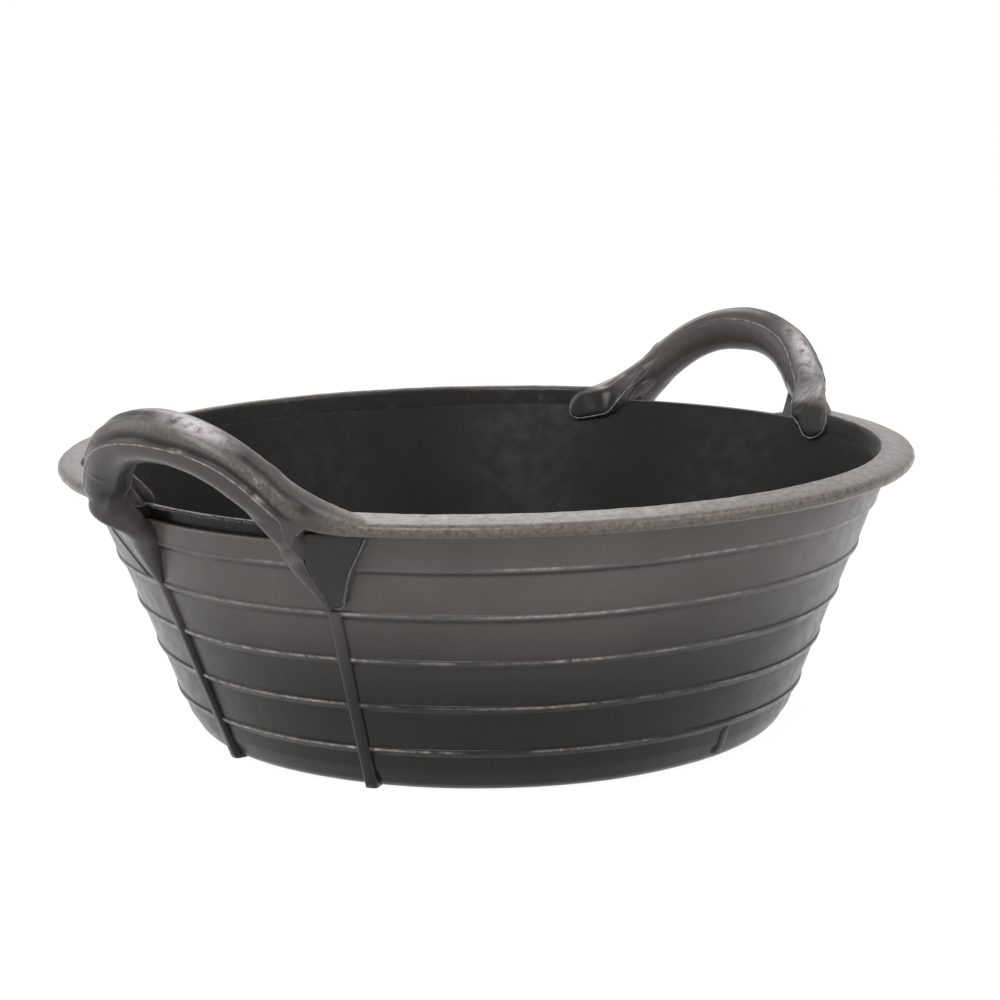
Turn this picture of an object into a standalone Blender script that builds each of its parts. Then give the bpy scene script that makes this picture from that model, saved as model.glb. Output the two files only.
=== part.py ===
"""Flexible rubber feed bucket with two arched handles.

A round, tapered tub of vulcanised rubber. Its wall is laid in five lapped bands,
a flanged lip runs round the free part of the rim, and on each side the rim strip
lifts off the wall and arches over a hand opening. The tub stands on z = 0 with its
axis on Z, and the handles lie on the X axis. Sizes are in metres.
"""

import math

import bmesh
import bpy
from mathutils import Matrix, Vector

# Clearance between pieces that touch
GAP = 0.0003

# Tub wall, from the floor up
WALL_THICKNESS = 0.0055
BASE_RADIUS = 0.1923
WALL_SLOPE = 0.398
BASE_ROUNDING = 0.0110
FIRST_BEAD_HEIGHT = 0.0270
BEAD_PITCH = 0.0294
BEAD_COUNT = 5
BEAD_LIFT = 0.0012
BEAD_HALF_HEIGHT = 0.0016
BAND_STEP = 0.0030
WALL_TOP = 0.1680

# Floor, lapped over the wall's turned-in foot
FLOOR_THICKNESS = 0.0100
FLOOR_LAP = 0.0140
FLOOR_EDGE_CHAMFER = 0.0020
FOOT_TURN_IN = 0.0240

# Flanged lip round the free part of the rim, measured from the wall's top edge
LIP_OVERHANG = 0.0135
LIP_RISE = 0.0090
LIP_LAP = 0.0035
LIP_TOP = WALL_TOP + LIP_RISE
LIP_DROP = 0.0040
LIP_FOOT = WALL_TOP - LIP_LAP
LIP_EDGE_ROUNDING = 0.0035
LIP_CREST_ROUNDING = 0.0024
LIP_START_ANGLE = math.radians(16.5)

# Handle arch: its crown, its feet and how it leaves them. An outset is from the wall's cone, and
# a rise or fall here and below is from the wall's top edge.
CROWN_OUTSET = 0.0203
CROWN_RISE = 0.0516
CROWN_PULL = 0.0385
FOOT_OUTSET = 0.0185
FOOT_RISE = 0.0020
FOOT_ANGLE = math.radians(16.35)
FOOT_PULL = 0.0400
FOOT_LEAN = math.radians(33.0)
FOOT_FLARE = math.radians(31.0)
CROWN_HALF_WIDTH = 0.0155
CROWN_HALF_DEPTH = 0.0160
FOOT_HALF_WIDTH = 0.0168
FOOT_HALF_DEPTH = 0.0142

# How far each handle has crept round the rim, out of true, and the height over which it does
RIGHT_CREEP = math.radians(-1.9)
LEFT_CREEP = math.radians(0.95)
CREEP_RISE = 0.0350

# Flex line of each handle, as a knuckle in a seat
HINGE_OUTSET = 0.0114
HINGE_RISE = 0.0225
HINGE_LEAN = math.radians(30.0)
KNUCKLE_RADIUS = 0.0180
SEAT_HALF_ANGLE = math.radians(48.0)

# Cord in the core of each handle, and its ends in the feet
CORD_RADIUS = 0.0040
CORD_TAIL_FALL = 0.0140

# Outer leg below each handle foot, which starts inside the arch and leaves it near its end
LEG_START_SHARE = 0.60
LEG_LEAVE_SHARE = 0.94
LEG_SINK = 0.0040
LEG_TOP_FALL = 0.0180
LEG_LENGTH = 0.0330
LEG_TOP_HEIGHT = WALL_TOP - LEG_TOP_FALL
LEG_TIP_HEIGHT = LEG_TOP_HEIGHT - LEG_LENGTH
LEG_TOP_ANGLE = math.radians(14.9)
LEG_TOP_HALF_WIDTH = 0.0076
LEG_TOP_LIFT = 0.0140
LEG_TIP_ANGLE = math.radians(16.2)
LEG_TIP_HALF_WIDTH = 0.0020
LEG_TIP_LIFT = 0.0030

# Tongue of each handle foot, over the rim and on the inside of the wall
TONGUE_START_ANGLE = math.radians(15.5)
TONGUE_START_RISE = 0.0150
TONGUE_START_INSET = 0.0031
TONGUE_END_ANGLE = math.radians(22.3)
TONGUE_END_FALL = 0.0040
TONGUE_HALF_WIDTH = 0.0120
TONGUE_LIFT = 0.0055
TONGUE_SINK = 0.0030

# Gusset patch beside each leg
GUSSET_TOP_ANGLE = math.radians(21.9)
GUSSET_BOTTOM_ANGLE = math.radians(18.4)
GUSSET_ABOVE_TIP = 0.0020
GUSSET_CORNER = 0.0060
GUSSET_LIFT = 0.0035
GUSSET_CHAMFER = 0.0015

# Strips down the wall
STRIP_ANGLE = math.radians(16.5)
STRIP_WIDTH = 0.0080
STRIP_LIFT = 0.0012
STRIP_SINK = 0.0055
STRIP_CHAMFER = 0.0010
STRIP_END_HEIGHT = 0.0006
BASE_STRIP_ANGLE = math.radians(-97.0)
BASE_STRIP_WIDTH = 0.0090
BASE_STRIP_LIFT = -0.0015
BASE_STRIP_BELOW_BEAD = 0.0035

# Fineness of the round shapes, and the small steps in which places along the arch are found
RING_STEPS = 64
ARCH_STEPS = 14
SECTION_STEPS = 14
SECTION_EXPONENT = 2.6
KNUCKLE_STEPS = 20
CORD_STEPS = 12
SEARCH_SHARE = 0.005

# Sides of the boxes that cut away what is not wanted, larger than anything they meet
SWING_WIDTH = 0.14
SWING_LENGTH = 0.33
SWING_HEIGHT = 0.10
LIP_ROOM = (1.0, 0.5, 0.1)

RIGHT = Vector((1.0, 0.0, 0.0))
HANDLES = {"right": (0.0, RIGHT_CREEP), "left": (math.pi, LEFT_CREEP)}
ENDS = {"front": -1.0, "rear": 1.0}


def bead_height(number):
    return FIRST_BEAD_HEIGHT + BEAD_PITCH * number


def wall_radius(height):
    """Radius of the straight cone that touches the beads."""
    return BASE_RADIUS + WALL_SLOPE * height


def inner_radius(height):
    return wall_radius(height) - BAND_STEP - WALL_THICKNESS


def on_wall(radius, angle, height):
    return Vector((radius * math.cos(angle), radius * math.sin(angle), height))


def off_wall(outset, angle, height):
    """A point at a distance outside the wall's cone."""
    return on_wall(wall_radius(height) + outset, angle, height)


def hinge_point():
    """Middle of the flex line of the right handle, before it creeps."""
    return off_wall(HINGE_OUTSET, 0.0, WALL_TOP + HINGE_RISE)


def blend(low, high, share):
    return low + (high - low) * share


def arc(centre, radius, start, end, steps):
    """Points on an arc in the profile plane, as (radius, height)."""
    points = []
    for i in range(steps + 1):
        angle = blend(start, end, i / steps)
        points.append((centre[0] + radius * math.cos(angle), centre[1] + radius * math.sin(angle)))
    return points


def grown(profile, amount):
    """A closed profile, drawn clockwise, with every edge moved outwards by the same amount."""
    result = []
    for i, corner in enumerate(profile):
        here = Vector(corner)
        before = (here - Vector(profile[i - 1])).normalized()
        after = (Vector(profile[(i + 1) % len(profile)]) - here).normalized()
        mean = Vector((-before.y - after.y, before.x + after.x)).normalized()
        reach = amount / max(0.5, mean.dot(Vector((-after.y, after.x))))
        result.append(tuple(here + mean * reach))
    return result


def band_profile():
    """Outer side of the wall, top to bottom, with a bead at the foot of each lapped band."""
    points = [(wall_radius(WALL_TOP), WALL_TOP)]
    for number in reversed(range(BEAD_COUNT)):
        height = bead_height(number)
        radius = wall_radius(height)
        half_slope = WALL_SLOPE * BEAD_HALF_HEIGHT
        points += [
            (radius + half_slope - BEAD_LIFT, height + BEAD_HALF_HEIGHT),
            (radius, height),
            (radius - half_slope - BEAD_LIFT, height - BEAD_HALF_HEIGHT),
            (radius - 2 * half_slope - BAND_STEP, height - 2 * BEAD_HALF_HEIGHT),
        ]
    return points


def base_corner():
    """Centre of the rounding between wall and base, in the profile plane."""
    lean = math.atan(WALL_SLOPE)
    tangent = BASE_ROUNDING * math.tan((math.pi / 2 - lean) / 2)
    return BASE_RADIUS - BAND_STEP - tangent, BASE_ROUNDING


def foot_edge_radius():
    return base_corner()[0] - FOOT_TURN_IN


def wall_profile():
    corner = base_corner()
    lean = -math.atan(WALL_SLOPE)
    outer = band_profile() + arc(corner, BASE_ROUNDING, lean, -math.pi / 2, 4)
    inner = arc(corner, BASE_ROUNDING - WALL_THICKNESS, -math.pi / 2, lean, 3)
    foot = [(foot_edge_radius(), 0.0), (foot_edge_radius(), WALL_THICKNESS)]
    return outer + foot + inner + [(inner_radius(WALL_TOP), WALL_TOP)]


def floor_profile():
    lap = foot_edge_radius() + FLOOR_LAP
    seat = WALL_THICKNESS + GAP
    return [
        (0.0, FLOOR_THICKNESS),
        (lap - FLOOR_EDGE_CHAMFER, FLOOR_THICKNESS),
        (lap, FLOOR_THICKNESS - FLOOR_EDGE_CHAMFER),
        (lap, seat),
        (foot_edge_radius() - GAP, seat),
        (foot_edge_radius() - GAP, 0.0),
        (0.0, 0.0),
    ]


def lip_profile():
    """Lip, from its inner crest over the top to the outer edge and back under to the wall."""
    seat = WALL_TOP + GAP
    inner = inner_radius(seat)
    outer = wall_radius(WALL_TOP) + LIP_OVERHANG
    edge = (outer - LIP_EDGE_ROUNDING, LIP_TOP - LIP_DROP - LIP_EDGE_ROUNDING)
    crest = (inner + LIP_CREST_ROUNDING, LIP_TOP - LIP_CREST_ROUNDING)
    return (
        arc(crest, LIP_CREST_ROUNDING, math.radians(180), math.radians(80), 3)
        + arc(edge, LIP_EDGE_ROUNDING, math.radians(70), math.radians(-90), 4)
        + [(wall_radius(LIP_FOOT) + GAP, LIP_FOOT), (wall_radius(seat) + GAP, seat), (inner, seat)]
    )


def tub_profile():
    """Wall and lip as one outline."""
    return lip_profile()[:-2] + wall_profile()[1:]


def arch_point(share):
    """Middle of the handle arch and its direction, from the crown (0) to a foot (1)."""
    crown = off_wall(CROWN_OUTSET, 0.0, WALL_TOP + CROWN_RISE)
    foot = off_wall(FOOT_OUTSET, FOOT_ANGLE, WALL_TOP + FOOT_RISE)
    down = Vector(
        (
            -math.sin(FOOT_LEAN) * math.cos(FOOT_FLARE),
            math.sin(FOOT_FLARE),
            -math.cos(FOOT_LEAN) * math.cos(FOOT_FLARE),
        )
    )
    near_crown = crown + Vector((0.0, CROWN_PULL, 0.0))
    near_foot = foot - down * FOOT_PULL
    rest = 1.0 - share
    point = crown * rest**3 + near_crown * 3 * rest**2 * share
    point += near_foot * 3 * rest * share**2 + foot * share**3
    along = (near_crown - crown) * rest**2 + (near_foot - near_crown) * 2 * rest * share
    along += (foot - near_foot) * share**2
    return point, along.normalized()


def rounded_section(centre, across, up, half_width, half_depth):
    """A ring of points on a rounded square."""
    ring = []
    for i in range(SECTION_STEPS):
        angle = 2 * math.pi * (i + 0.5) / SECTION_STEPS
        cos, sin = math.cos(angle), math.sin(angle)
        x = math.copysign(abs(cos) ** (2 / SECTION_EXPONENT), cos) * half_width
        y = math.copysign(abs(sin) ** (2 / SECTION_EXPONENT), sin) * half_depth
        ring.append(centre + across * x + up * y)
    return ring


def arch_section(share, extra=0.0):
    """Section of the strap: its width points outwards, its depth away from the hand opening."""
    centre, along = arch_point(share)
    outward = (RIGHT - along * along.dot(RIGHT)).normalized()
    away = outward.cross(along)
    half_width = blend(CROWN_HALF_WIDTH, FOOT_HALF_WIDTH, share) + extra
    half_depth = blend(CROWN_HALF_DEPTH, FOOT_HALF_DEPTH, share) + extra
    return rounded_section(centre, outward, away, half_width, half_depth)


def leg_angle(height):
    rise = (height - LEG_TIP_HEIGHT) / (LEG_TOP_HEIGHT - LEG_TIP_HEIGHT)
    return blend(LEG_TIP_ANGLE, LEG_TOP_ANGLE, rise)


def leg_middle(share):
    """Middle of the leg on the wall and its half sizes, from its top (0) to its tip (1)."""
    height = blend(LEG_TOP_HEIGHT, LEG_TIP_HEIGHT, share)
    angle = leg_angle(height)
    lift = blend(LEG_TOP_LIFT, LEG_TIP_LIFT, share)
    half_width = blend(LEG_TOP_HALF_WIDTH, LEG_TIP_HALF_WIDTH, share)
    radius = wall_radius(height) + (lift - LEG_SINK) / 2
    return on_wall(radius, angle, height), angle, (lift + LEG_SINK) / 2, half_width


def leg_section(share, extra=0.0):
    centre, angle, half_lift, half_width = leg_middle(share)
    outward = on_wall(1.0, angle, 0.0)
    sideways = on_wall(1.0, angle + math.pi / 2, 0.0)
    return rounded_section(centre, outward, sideways, half_lift + extra, half_width + extra)


def foot_rings(extra=0.0):
    """The leg's rings, from inside the arch down to the tip on the wall."""
    middle = (LEG_START_SHARE + LEG_LEAVE_SHARE) / 2
    arch = [arch_section(share, extra) for share in (LEG_START_SHARE, middle, LEG_LEAVE_SHARE)]
    leg = [leg_section(step / 3, extra) for step in range(4)]
    return arch + leg


def tongue_rings():
    """The tongue's rings, from the inner side of the strap to its round end on the wall."""
    start = off_wall(-TONGUE_START_INSET, TONGUE_START_ANGLE, WALL_TOP + TONGUE_START_RISE)
    end_height = WALL_TOP - TONGUE_END_FALL
    end_radius = inner_radius(end_height) - (TONGUE_LIFT - TONGUE_SINK) / 2
    end = on_wall(end_radius, TONGUE_END_ANGLE, end_height)
    turn = on_wall(end_radius, blend(TONGUE_START_ANGLE, TONGUE_END_ANGLE, 0.5), LIP_TOP - LIP_DROP)
    half_depth = (TONGUE_LIFT + TONGUE_SINK) / 2
    rings = []
    run = (end - turn).normalized()
    stations = [(start, 1.0), (turn, 1.0), (end, 1.0)]
    for share in (0.5, 0.8, 0.96):
        stations.append((end + run * TONGUE_HALF_WIDTH * share, math.sqrt(1 - share**2)))
    for place, width in stations:
        inward = -on_wall(1.0, math.atan2(place.y, place.x), 0.0)
        inward = (inward + Vector((0.0, 0.0, WALL_SLOPE))).normalized()
        side = inward.cross(run).normalized()
        rings.append(rounded_section(place, inward, side, half_depth, TONGUE_HALF_WIDTH * width))
    return rings


def patch_ring(height, start, end, inside, outside, chamfer):
    """A ring of points round a flat patch on the wall, at one height."""
    steps = 3
    trim = chamfer / outside
    ring = [on_wall(inside, blend(start, end, i / steps), height) for i in range(steps + 1)]
    ring.append(on_wall(outside - chamfer, end, height))
    for i in range(steps + 1):
        ring.append(on_wall(outside, blend(end - trim, start + trim, i / steps), height))
    ring.append(on_wall(outside - chamfer, start, height))
    return ring


def gusset_rings():
    top = LIP_FOOT - GAP
    bottom = LEG_TIP_HEIGHT + GUSSET_ABOVE_TIP
    straight = (top, bottom + GUSSET_CORNER)
    rings = []
    for height in straight:
        share = (top - height) / (top - bottom)
        rings.append((height, blend(GUSSET_TOP_ANGLE, GUSSET_BOTTOM_ANGLE, share)))
    corner_angle = rings[-1][1]
    for share in (0.5, 0.85, 1.0):
        height = straight[1] - GUSSET_CORNER * share
        inset = GUSSET_CORNER * (1 - math.sqrt(1 - share**2)) / wall_radius(height)
        rings.append((height, corner_angle - inset))
    return [
        patch_ring(
            height,
            leg_angle(height),
            end,
            wall_radius(height) - STRIP_SINK,
            wall_radius(height) + GUSSET_LIFT,
            GUSSET_CHAMFER,
        )
        for height, end in rings
    ]


def strip_rings(angle, width, lift, top):
    """A strip down the wall. Its back follows the rounding of the base, inside the wall."""
    rings = []
    middle = (top + BASE_ROUNDING) / 2
    for height in (top, middle, BASE_ROUNDING, BASE_ROUNDING / 2, STRIP_END_HEIGHT):
        radius = wall_radius(height)
        tuck = max(0.0, BASE_ROUNDING - height) / 2
        half = width / 2 / radius
        inside = radius - STRIP_SINK - tuck
        rings.append(patch_ring(height, angle - half, angle + half, inside, radius + lift, STRIP_CHAMFER))
    return rings


def in_place(rings, side, end, creeps=True):
    """Rings drawn for the rear foot of the right handle, brought to any foot."""
    turn, creep = HANDLES[side]
    mirror = ENDS[end] * math.cos(turn)
    placed = []
    for ring in rings:
        row = []
        for point in ring:
            angle = turn + (creep * creep_share(point.z) if creeps else 0.0)
            row.append(Matrix.Rotation(angle, 3, "Z") @ Vector((point.x, point.y * mirror, point.z)))
        placed.append(row)
    return placed


def creep_share(height):
    rise = min(1.0, max(0.0, (height - LEG_TIP_HEIGHT) / CREEP_RISE))
    return rise * rise * (3 - 2 * rise)


def handle_spin(side):
    return Matrix.Rotation(sum(HANDLES[side]), 4, "Z")


def material(name, colour, roughness):
    made = bpy.data.materials.get(name)
    if made is None:
        made = bpy.data.materials.new(name)
        made.use_nodes = True
        shader = made.node_tree.nodes["Principled BSDF"]
        shader.inputs["Base Color"].default_value = (*colour, 1.0)
        shader.inputs["Roughness"].default_value = roughness
        shader.inputs["Metallic"].default_value = 0.0
    return made


def moulded_rubber():
    return material("moulded_rubber", (0.035, 0.034, 0.033), 0.62)


def worn_rubber():
    return material("worn_rubber", (0.050, 0.047, 0.044), 0.55)


def cord_fibre():
    return material("nylon_cord", (0.55, 0.53, 0.47), 0.80)


def add_object(name, data, finish, collection):
    made = bpy.data.objects.new(name, data)
    collection.objects.link(made)
    if finish:
        data.materials.append(finish)
    else:
        made.hide_render = True
        made.display_type = "WIRE"
    return made


def shaped_mesh(name, shape):
    mesh = bpy.data.meshes.new(name)
    shape.to_mesh(mesh)
    shape.free()
    mesh.shade_smooth()
    mesh.set_sharp_from_angle(angle=math.radians(40))
    return mesh


def loft(name, rings, finish, collection):
    """A closed solid through rings that have the same number of points."""
    shape = bmesh.new()
    rows = [[shape.verts.new(point) for point in ring] for ring in rings]
    count = len(rows[0])
    for row, following in zip(rows, rows[1:]):
        for i in range(count):
            j = (i + 1) % count
            shape.faces.new((row[i], row[j], following[j], following[i]))
    shape.faces.new(rows[0])
    shape.faces.new(list(reversed(rows[-1])))
    bmesh.ops.triangulate(shape, faces=[face for face in shape.faces if len(face.verts) > 4])
    bmesh.ops.recalc_face_normals(shape, faces=shape.faces)
    return add_object(name, shaped_mesh(name, shape), finish, collection)


def turned_solid(name, profile, finish, collection):
    """A ring or disc turned about the tub's axis from a closed profile."""
    shape = bmesh.new()
    corners = [shape.verts.new((radius, 0.0, height)) for radius, height in profile]
    for i, corner in enumerate(corners):
        following = corners[(i + 1) % len(corners)]
        if corner.co.x > 0 or following.co.x > 0:
            shape.edges.new((corner, following))
    mesh = bpy.data.meshes.new(name)
    shape.to_mesh(mesh)
    shape.free()
    made = add_object(name, mesh, finish, collection)
    screw = made.modifiers.new("turn", "SCREW")
    screw.steps = RING_STEPS
    screw.render_steps = RING_STEPS
    screw.use_merge_vertices = True
    screw.merge_threshold = 0.00001
    screw.use_smooth_shade = True
    return made


def cord_along(name, points, radius, finish, collection):
    """A round cord through points, with closed ends."""
    curve = bpy.data.curves.new(name, "CURVE")
    curve.dimensions = "3D"
    curve.bevel_depth = radius
    curve.bevel_resolution = 2
    curve.use_fill_caps = True
    spline = curve.splines.new("POLY")
    spline.points.add(len(points) - 1)
    for knot, point in zip(spline.points, points):
        knot.co = (*point, 1.0)
    return add_object(name, curve, finish, collection)


def as_mesh(curve_object, collection):
    """The same cord as a closed mesh, which can cut."""
    bpy.context.view_layer.update()
    evaluated = curve_object.evaluated_get(bpy.context.evaluated_depsgraph_get())
    mesh = bpy.data.meshes.new_from_object(evaluated)
    shape = bmesh.new()
    shape.from_mesh(mesh)
    bmesh.ops.remove_doubles(shape, verts=shape.verts, dist=0.00001)
    shape.to_mesh(mesh)
    shape.free()
    name = curve_object.name
    place = curve_object.matrix_world.copy()
    bpy.data.objects.remove(curve_object)
    made = add_object(name, mesh, None, collection)
    made.matrix_world = place
    return made


def box_cutter(name, size, matrix, collection):
    shape = bmesh.new()
    bmesh.ops.create_cube(shape, size=1.0)
    bmesh.ops.scale(shape, vec=size, verts=shape.verts)
    made = add_object(name, shaped_mesh(name, shape), None, collection)
    made.matrix_world = matrix
    return made


def prism_cutter(name, outline, length, matrix, collection):
    """An outline in the local XZ plane, drawn out along Y to both sides."""
    shape = bmesh.new()
    face = shape.faces.new([shape.verts.new((x, -length / 2, z)) for x, z in outline])
    drawn = bmesh.ops.extrude_face_region(shape, geom=[face])["geom"]
    moved = [item for item in drawn if isinstance(item, bmesh.types.BMVert)]
    bmesh.ops.translate(shape, vec=(0.0, length, 0.0), verts=moved)
    bmesh.ops.triangulate(shape, faces=[face for face in shape.faces if len(face.verts) > 4])
    bmesh.ops.recalc_face_normals(shape, faces=shape.faces)
    made = add_object(name, shaped_mesh(name, shape), None, collection)
    made.matrix_world = matrix
    return made


def boolean(target, cutter, operation="DIFFERENCE"):
    step = target.modifiers.new(f"{operation.lower()}_{cutter.name}", "BOOLEAN")
    step.operation = operation
    step.solver = "EXACT"
    step.object = cutter


def hinge_frame(side):
    """The flex axis of one handle as local Y, with local Z along the handle's lean outwards."""
    place = Matrix.Translation(hinge_point()) @ Matrix.Rotation(HINGE_LEAN, 4, "Y")
    return handle_spin(side) @ place


def below_knuckle():
    """Everything below the flex line except the knuckle that the strap ends in."""
    half = SWING_WIDTH / 2
    knuckle = arc((0.0, 0.0), KNUCKLE_RADIUS, -math.pi, 0.0, KNUCKLE_STEPS)
    return [(-half, 0.0)] + knuckle + [(half, 0.0), (half, -SWING_HEIGHT), (-half, -SWING_HEIGHT)]


def above_seat():
    """Everything above the foot and its seat, with the wedges that let the strap swing."""
    half = SWING_WIDTH / 2
    first, last = -math.pi / 2 + SEAT_HALF_ANGLE, -math.pi / 2 - SEAT_HALF_ANGLE
    seat = arc((0.0, 0.0), KNUCKLE_RADIUS + GAP, first, last, KNUCKLE_STEPS)
    right = (half * math.cos(first), half * math.sin(first))
    left = (half * math.cos(last), half * math.sin(last))
    return seat + [left, (-half, SWING_HEIGHT), (half, SWING_HEIGHT), right]


def arch_shares(limit, steps):
    """Places along the whole arch, from the front foot (-limit) to the rear foot (limit)."""
    return [limit * i / steps for i in range(-steps, steps + 1)]


def strap_rings(side):
    rings = []
    for share in arch_shares(1.0, ARCH_STEPS):
        rings += in_place([arch_section(abs(share))], side, "rear" if share >= 0 else "front")
    return rings


def arch_path(side, limit, steps):
    points = []
    for share in arch_shares(limit, steps):
        end = "rear" if share >= 0 else "front"
        points += in_place([[arch_point(abs(share))[0]]], side, end)[0]
    return points


def cord_end_share():
    """How far along the arch the cord runs, so that its end stays inside the knuckle."""
    share = 1.0
    while (arch_point(share)[0] - hinge_point()).xz.length > KNUCKLE_RADIUS - CORD_RADIUS / 2:
        share -= SEARCH_SHARE
    return share


def tail_path(side, end):
    """The anchored end of the cord, from the seat down the middle of the leg."""
    start = arch_point(LEG_LEAVE_SHARE)[0]
    top = leg_middle(0.0)[0]
    first = 0.0
    while (start.lerp(top, first) - hinge_point()).xz.length < KNUCKLE_RADIUS + CORD_RADIUS / 2:
        first += SEARCH_SHARE
    last = (start.z - WALL_TOP + CORD_TAIL_FALL) / (start.z - top.z)
    return in_place([[start.lerp(top, first), start.lerp(top, last)]], side, end)[0]


def make_tub(parts, cutters):
    turned_solid("wall_shell", wall_profile(), moulded_rubber(), parts)
    turned_solid("floor_disc", floor_profile(), moulded_rubber(), parts)
    wall_room = turned_solid("wall_room", grown(wall_profile(), GAP), None, cutters)
    tub_room = turned_solid("tub_room", grown(tub_profile(), GAP), None, cutters)
    return wall_room, tub_room


def make_lips(feet, parts, cutters):
    """The lip in two lengths, each cut off at the handle feet."""
    size = LIP_ROOM
    for end, sign in ENDS.items():
        lip = turned_solid(f"rim_lip_{end}", lip_profile(), worn_rubber(), parts)
        for side, turn in (("right", LIP_START_ANGLE), ("left", -LIP_START_ANGLE)):
            aside = Matrix.Translation((0.0, -sign * size[1] / 2, LIP_TOP))
            aside = Matrix.Rotation(sign * turn + HANDLES[side][1], 4, "Z") @ aside
            boolean(lip, box_cutter(f"lip_end_{side}_{end}", size, aside, cutters))
            boolean(lip, feet[side, end])


def make_handle(side, wall_room, tub_room, parts, cutters):
    frame = hinge_frame(side)
    below = prism_cutter(f"below_knuckle_{side}", below_knuckle(), SWING_LENGTH, frame, cutters)
    above = prism_cutter(f"above_seat_{side}", above_seat(), SWING_LENGTH, frame, cutters)
    strap = loft(f"handle_{side}_strap", strap_rings(side), worn_rubber(), parts)
    boolean(strap, below)
    bore = cord_along(f"bore_{side}", arch_path(side, 1.0, CORD_STEPS), CORD_RADIUS + GAP, None, cutters)
    boolean(strap, as_mesh(bore, cutters))
    cord_path = arch_path(side, cord_end_share(), CORD_STEPS)
    cord_along(f"handle_{side}_cord", cord_path, CORD_RADIUS, cord_fibre(), parts)
    feet = {}
    for end in ENDS:
        leg_rings = in_place(foot_rings(), side, end)
        leg = loft(f"handle_{side}_leg_{end}", leg_rings, moulded_rubber(), parts)
        room = loft(f"leg_room_{side}_{end}", in_place(foot_rings(GAP), side, end), None, cutters)
        tongue_shape = in_place(tongue_rings(), side, end)
        tongue = loft(f"handle_{side}_tongue_{end}", tongue_shape, moulded_rubber(), parts)
        gusset_shape = in_place(gusset_rings(), side, end)
        gusset = loft(f"handle_{side}_gusset_{end}", gusset_shape, moulded_rubber(), parts)
        boolean(tongue, tub_room)
        for piece in (leg, gusset):
            boolean(piece, wall_room)
        for piece in (leg, tongue):
            boolean(piece, above)
        for piece in (tongue, gusset):
            boolean(piece, room)
        path = tail_path(side, end)
        cord_along(f"handle_{side}_cord_tail_{end}", path, CORD_RADIUS, cord_fibre(), parts)
        hole_path = [path[0] * 2 - path[1], path[1] + (path[1] - path[0]).normalized() * GAP]
        hole = cord_along(f"tail_bore_{side}_{end}", hole_path, CORD_RADIUS + GAP, None, cutters)
        boolean(leg, as_mesh(hole, cutters))
        feet[side, end] = room
    return feet


def make_strips(wall_room, parts):
    long_strip = strip_rings(STRIP_ANGLE, STRIP_WIDTH, STRIP_LIFT, LEG_TIP_HEIGHT - GAP)
    for side in HANDLES:
        for end in ENDS:
            rings = in_place(long_strip, side, end, creeps=False)
            strip = loft(f"wall_strip_{side}_{end}", rings, moulded_rubber(), parts)
            boolean(strip, wall_room)
    base_top = FIRST_BEAD_HEIGHT - BASE_STRIP_BELOW_BEAD
    short_strip = strip_rings(BASE_STRIP_ANGLE, BASE_STRIP_WIDTH, BASE_STRIP_LIFT, base_top)
    for side, end in (("right", "front"), ("left", "rear")):
        rings = in_place(short_strip, side, "rear", creeps=False)
        strip = loft(f"base_strip_{end}", rings, moulded_rubber(), parts)
        boolean(strip, wall_room)


def main():
    for old in list(bpy.data.objects):
        bpy.data.objects.remove(old)
    parts = bpy.data.collections.new("flexible_bucket")
    cutters = bpy.data.collections.new("cutters")
    for group in (parts, cutters):
        bpy.context.scene.collection.children.link(group)
    wall_room, tub_room = make_tub(parts, cutters)
    feet = {}
    for side in HANDLES:
        feet.update(make_handle(side, wall_room, tub_room, parts, cutters))
    make_lips(feet, parts, cutters)
    make_strips(wall_room, parts)


main()
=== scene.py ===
"""Looks of a flexible rubber feed bucket with two arched handles.

The tub's wall is turned from one fine profile. On each side the lip, the handle strap and its feet
are built from lofts, fused into one rubber skin and grooved, so that the rubber runs on from the
rim into the handle without a seam. Raised edge lines are laid on that skin. Sizes are in metres,
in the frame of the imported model.
"""

import math
from contextlib import contextmanager

import bmesh
import bpy
import numpy as np
from mathutils import Matrix, Vector


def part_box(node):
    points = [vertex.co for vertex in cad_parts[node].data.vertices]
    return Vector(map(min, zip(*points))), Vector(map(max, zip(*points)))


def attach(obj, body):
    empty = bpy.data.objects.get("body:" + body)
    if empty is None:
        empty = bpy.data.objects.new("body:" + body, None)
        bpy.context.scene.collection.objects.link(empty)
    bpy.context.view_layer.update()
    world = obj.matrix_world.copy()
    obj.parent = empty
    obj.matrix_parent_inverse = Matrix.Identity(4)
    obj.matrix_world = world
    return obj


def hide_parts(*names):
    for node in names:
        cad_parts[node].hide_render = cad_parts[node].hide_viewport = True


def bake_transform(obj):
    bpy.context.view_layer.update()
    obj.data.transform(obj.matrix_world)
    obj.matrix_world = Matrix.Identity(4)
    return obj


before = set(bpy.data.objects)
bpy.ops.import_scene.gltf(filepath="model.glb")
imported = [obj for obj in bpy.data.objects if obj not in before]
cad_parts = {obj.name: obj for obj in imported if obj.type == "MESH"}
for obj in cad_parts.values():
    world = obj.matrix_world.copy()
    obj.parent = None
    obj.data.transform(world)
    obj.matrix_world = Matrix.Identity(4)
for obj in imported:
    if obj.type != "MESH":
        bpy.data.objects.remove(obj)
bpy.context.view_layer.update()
MM = 0.001

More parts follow.
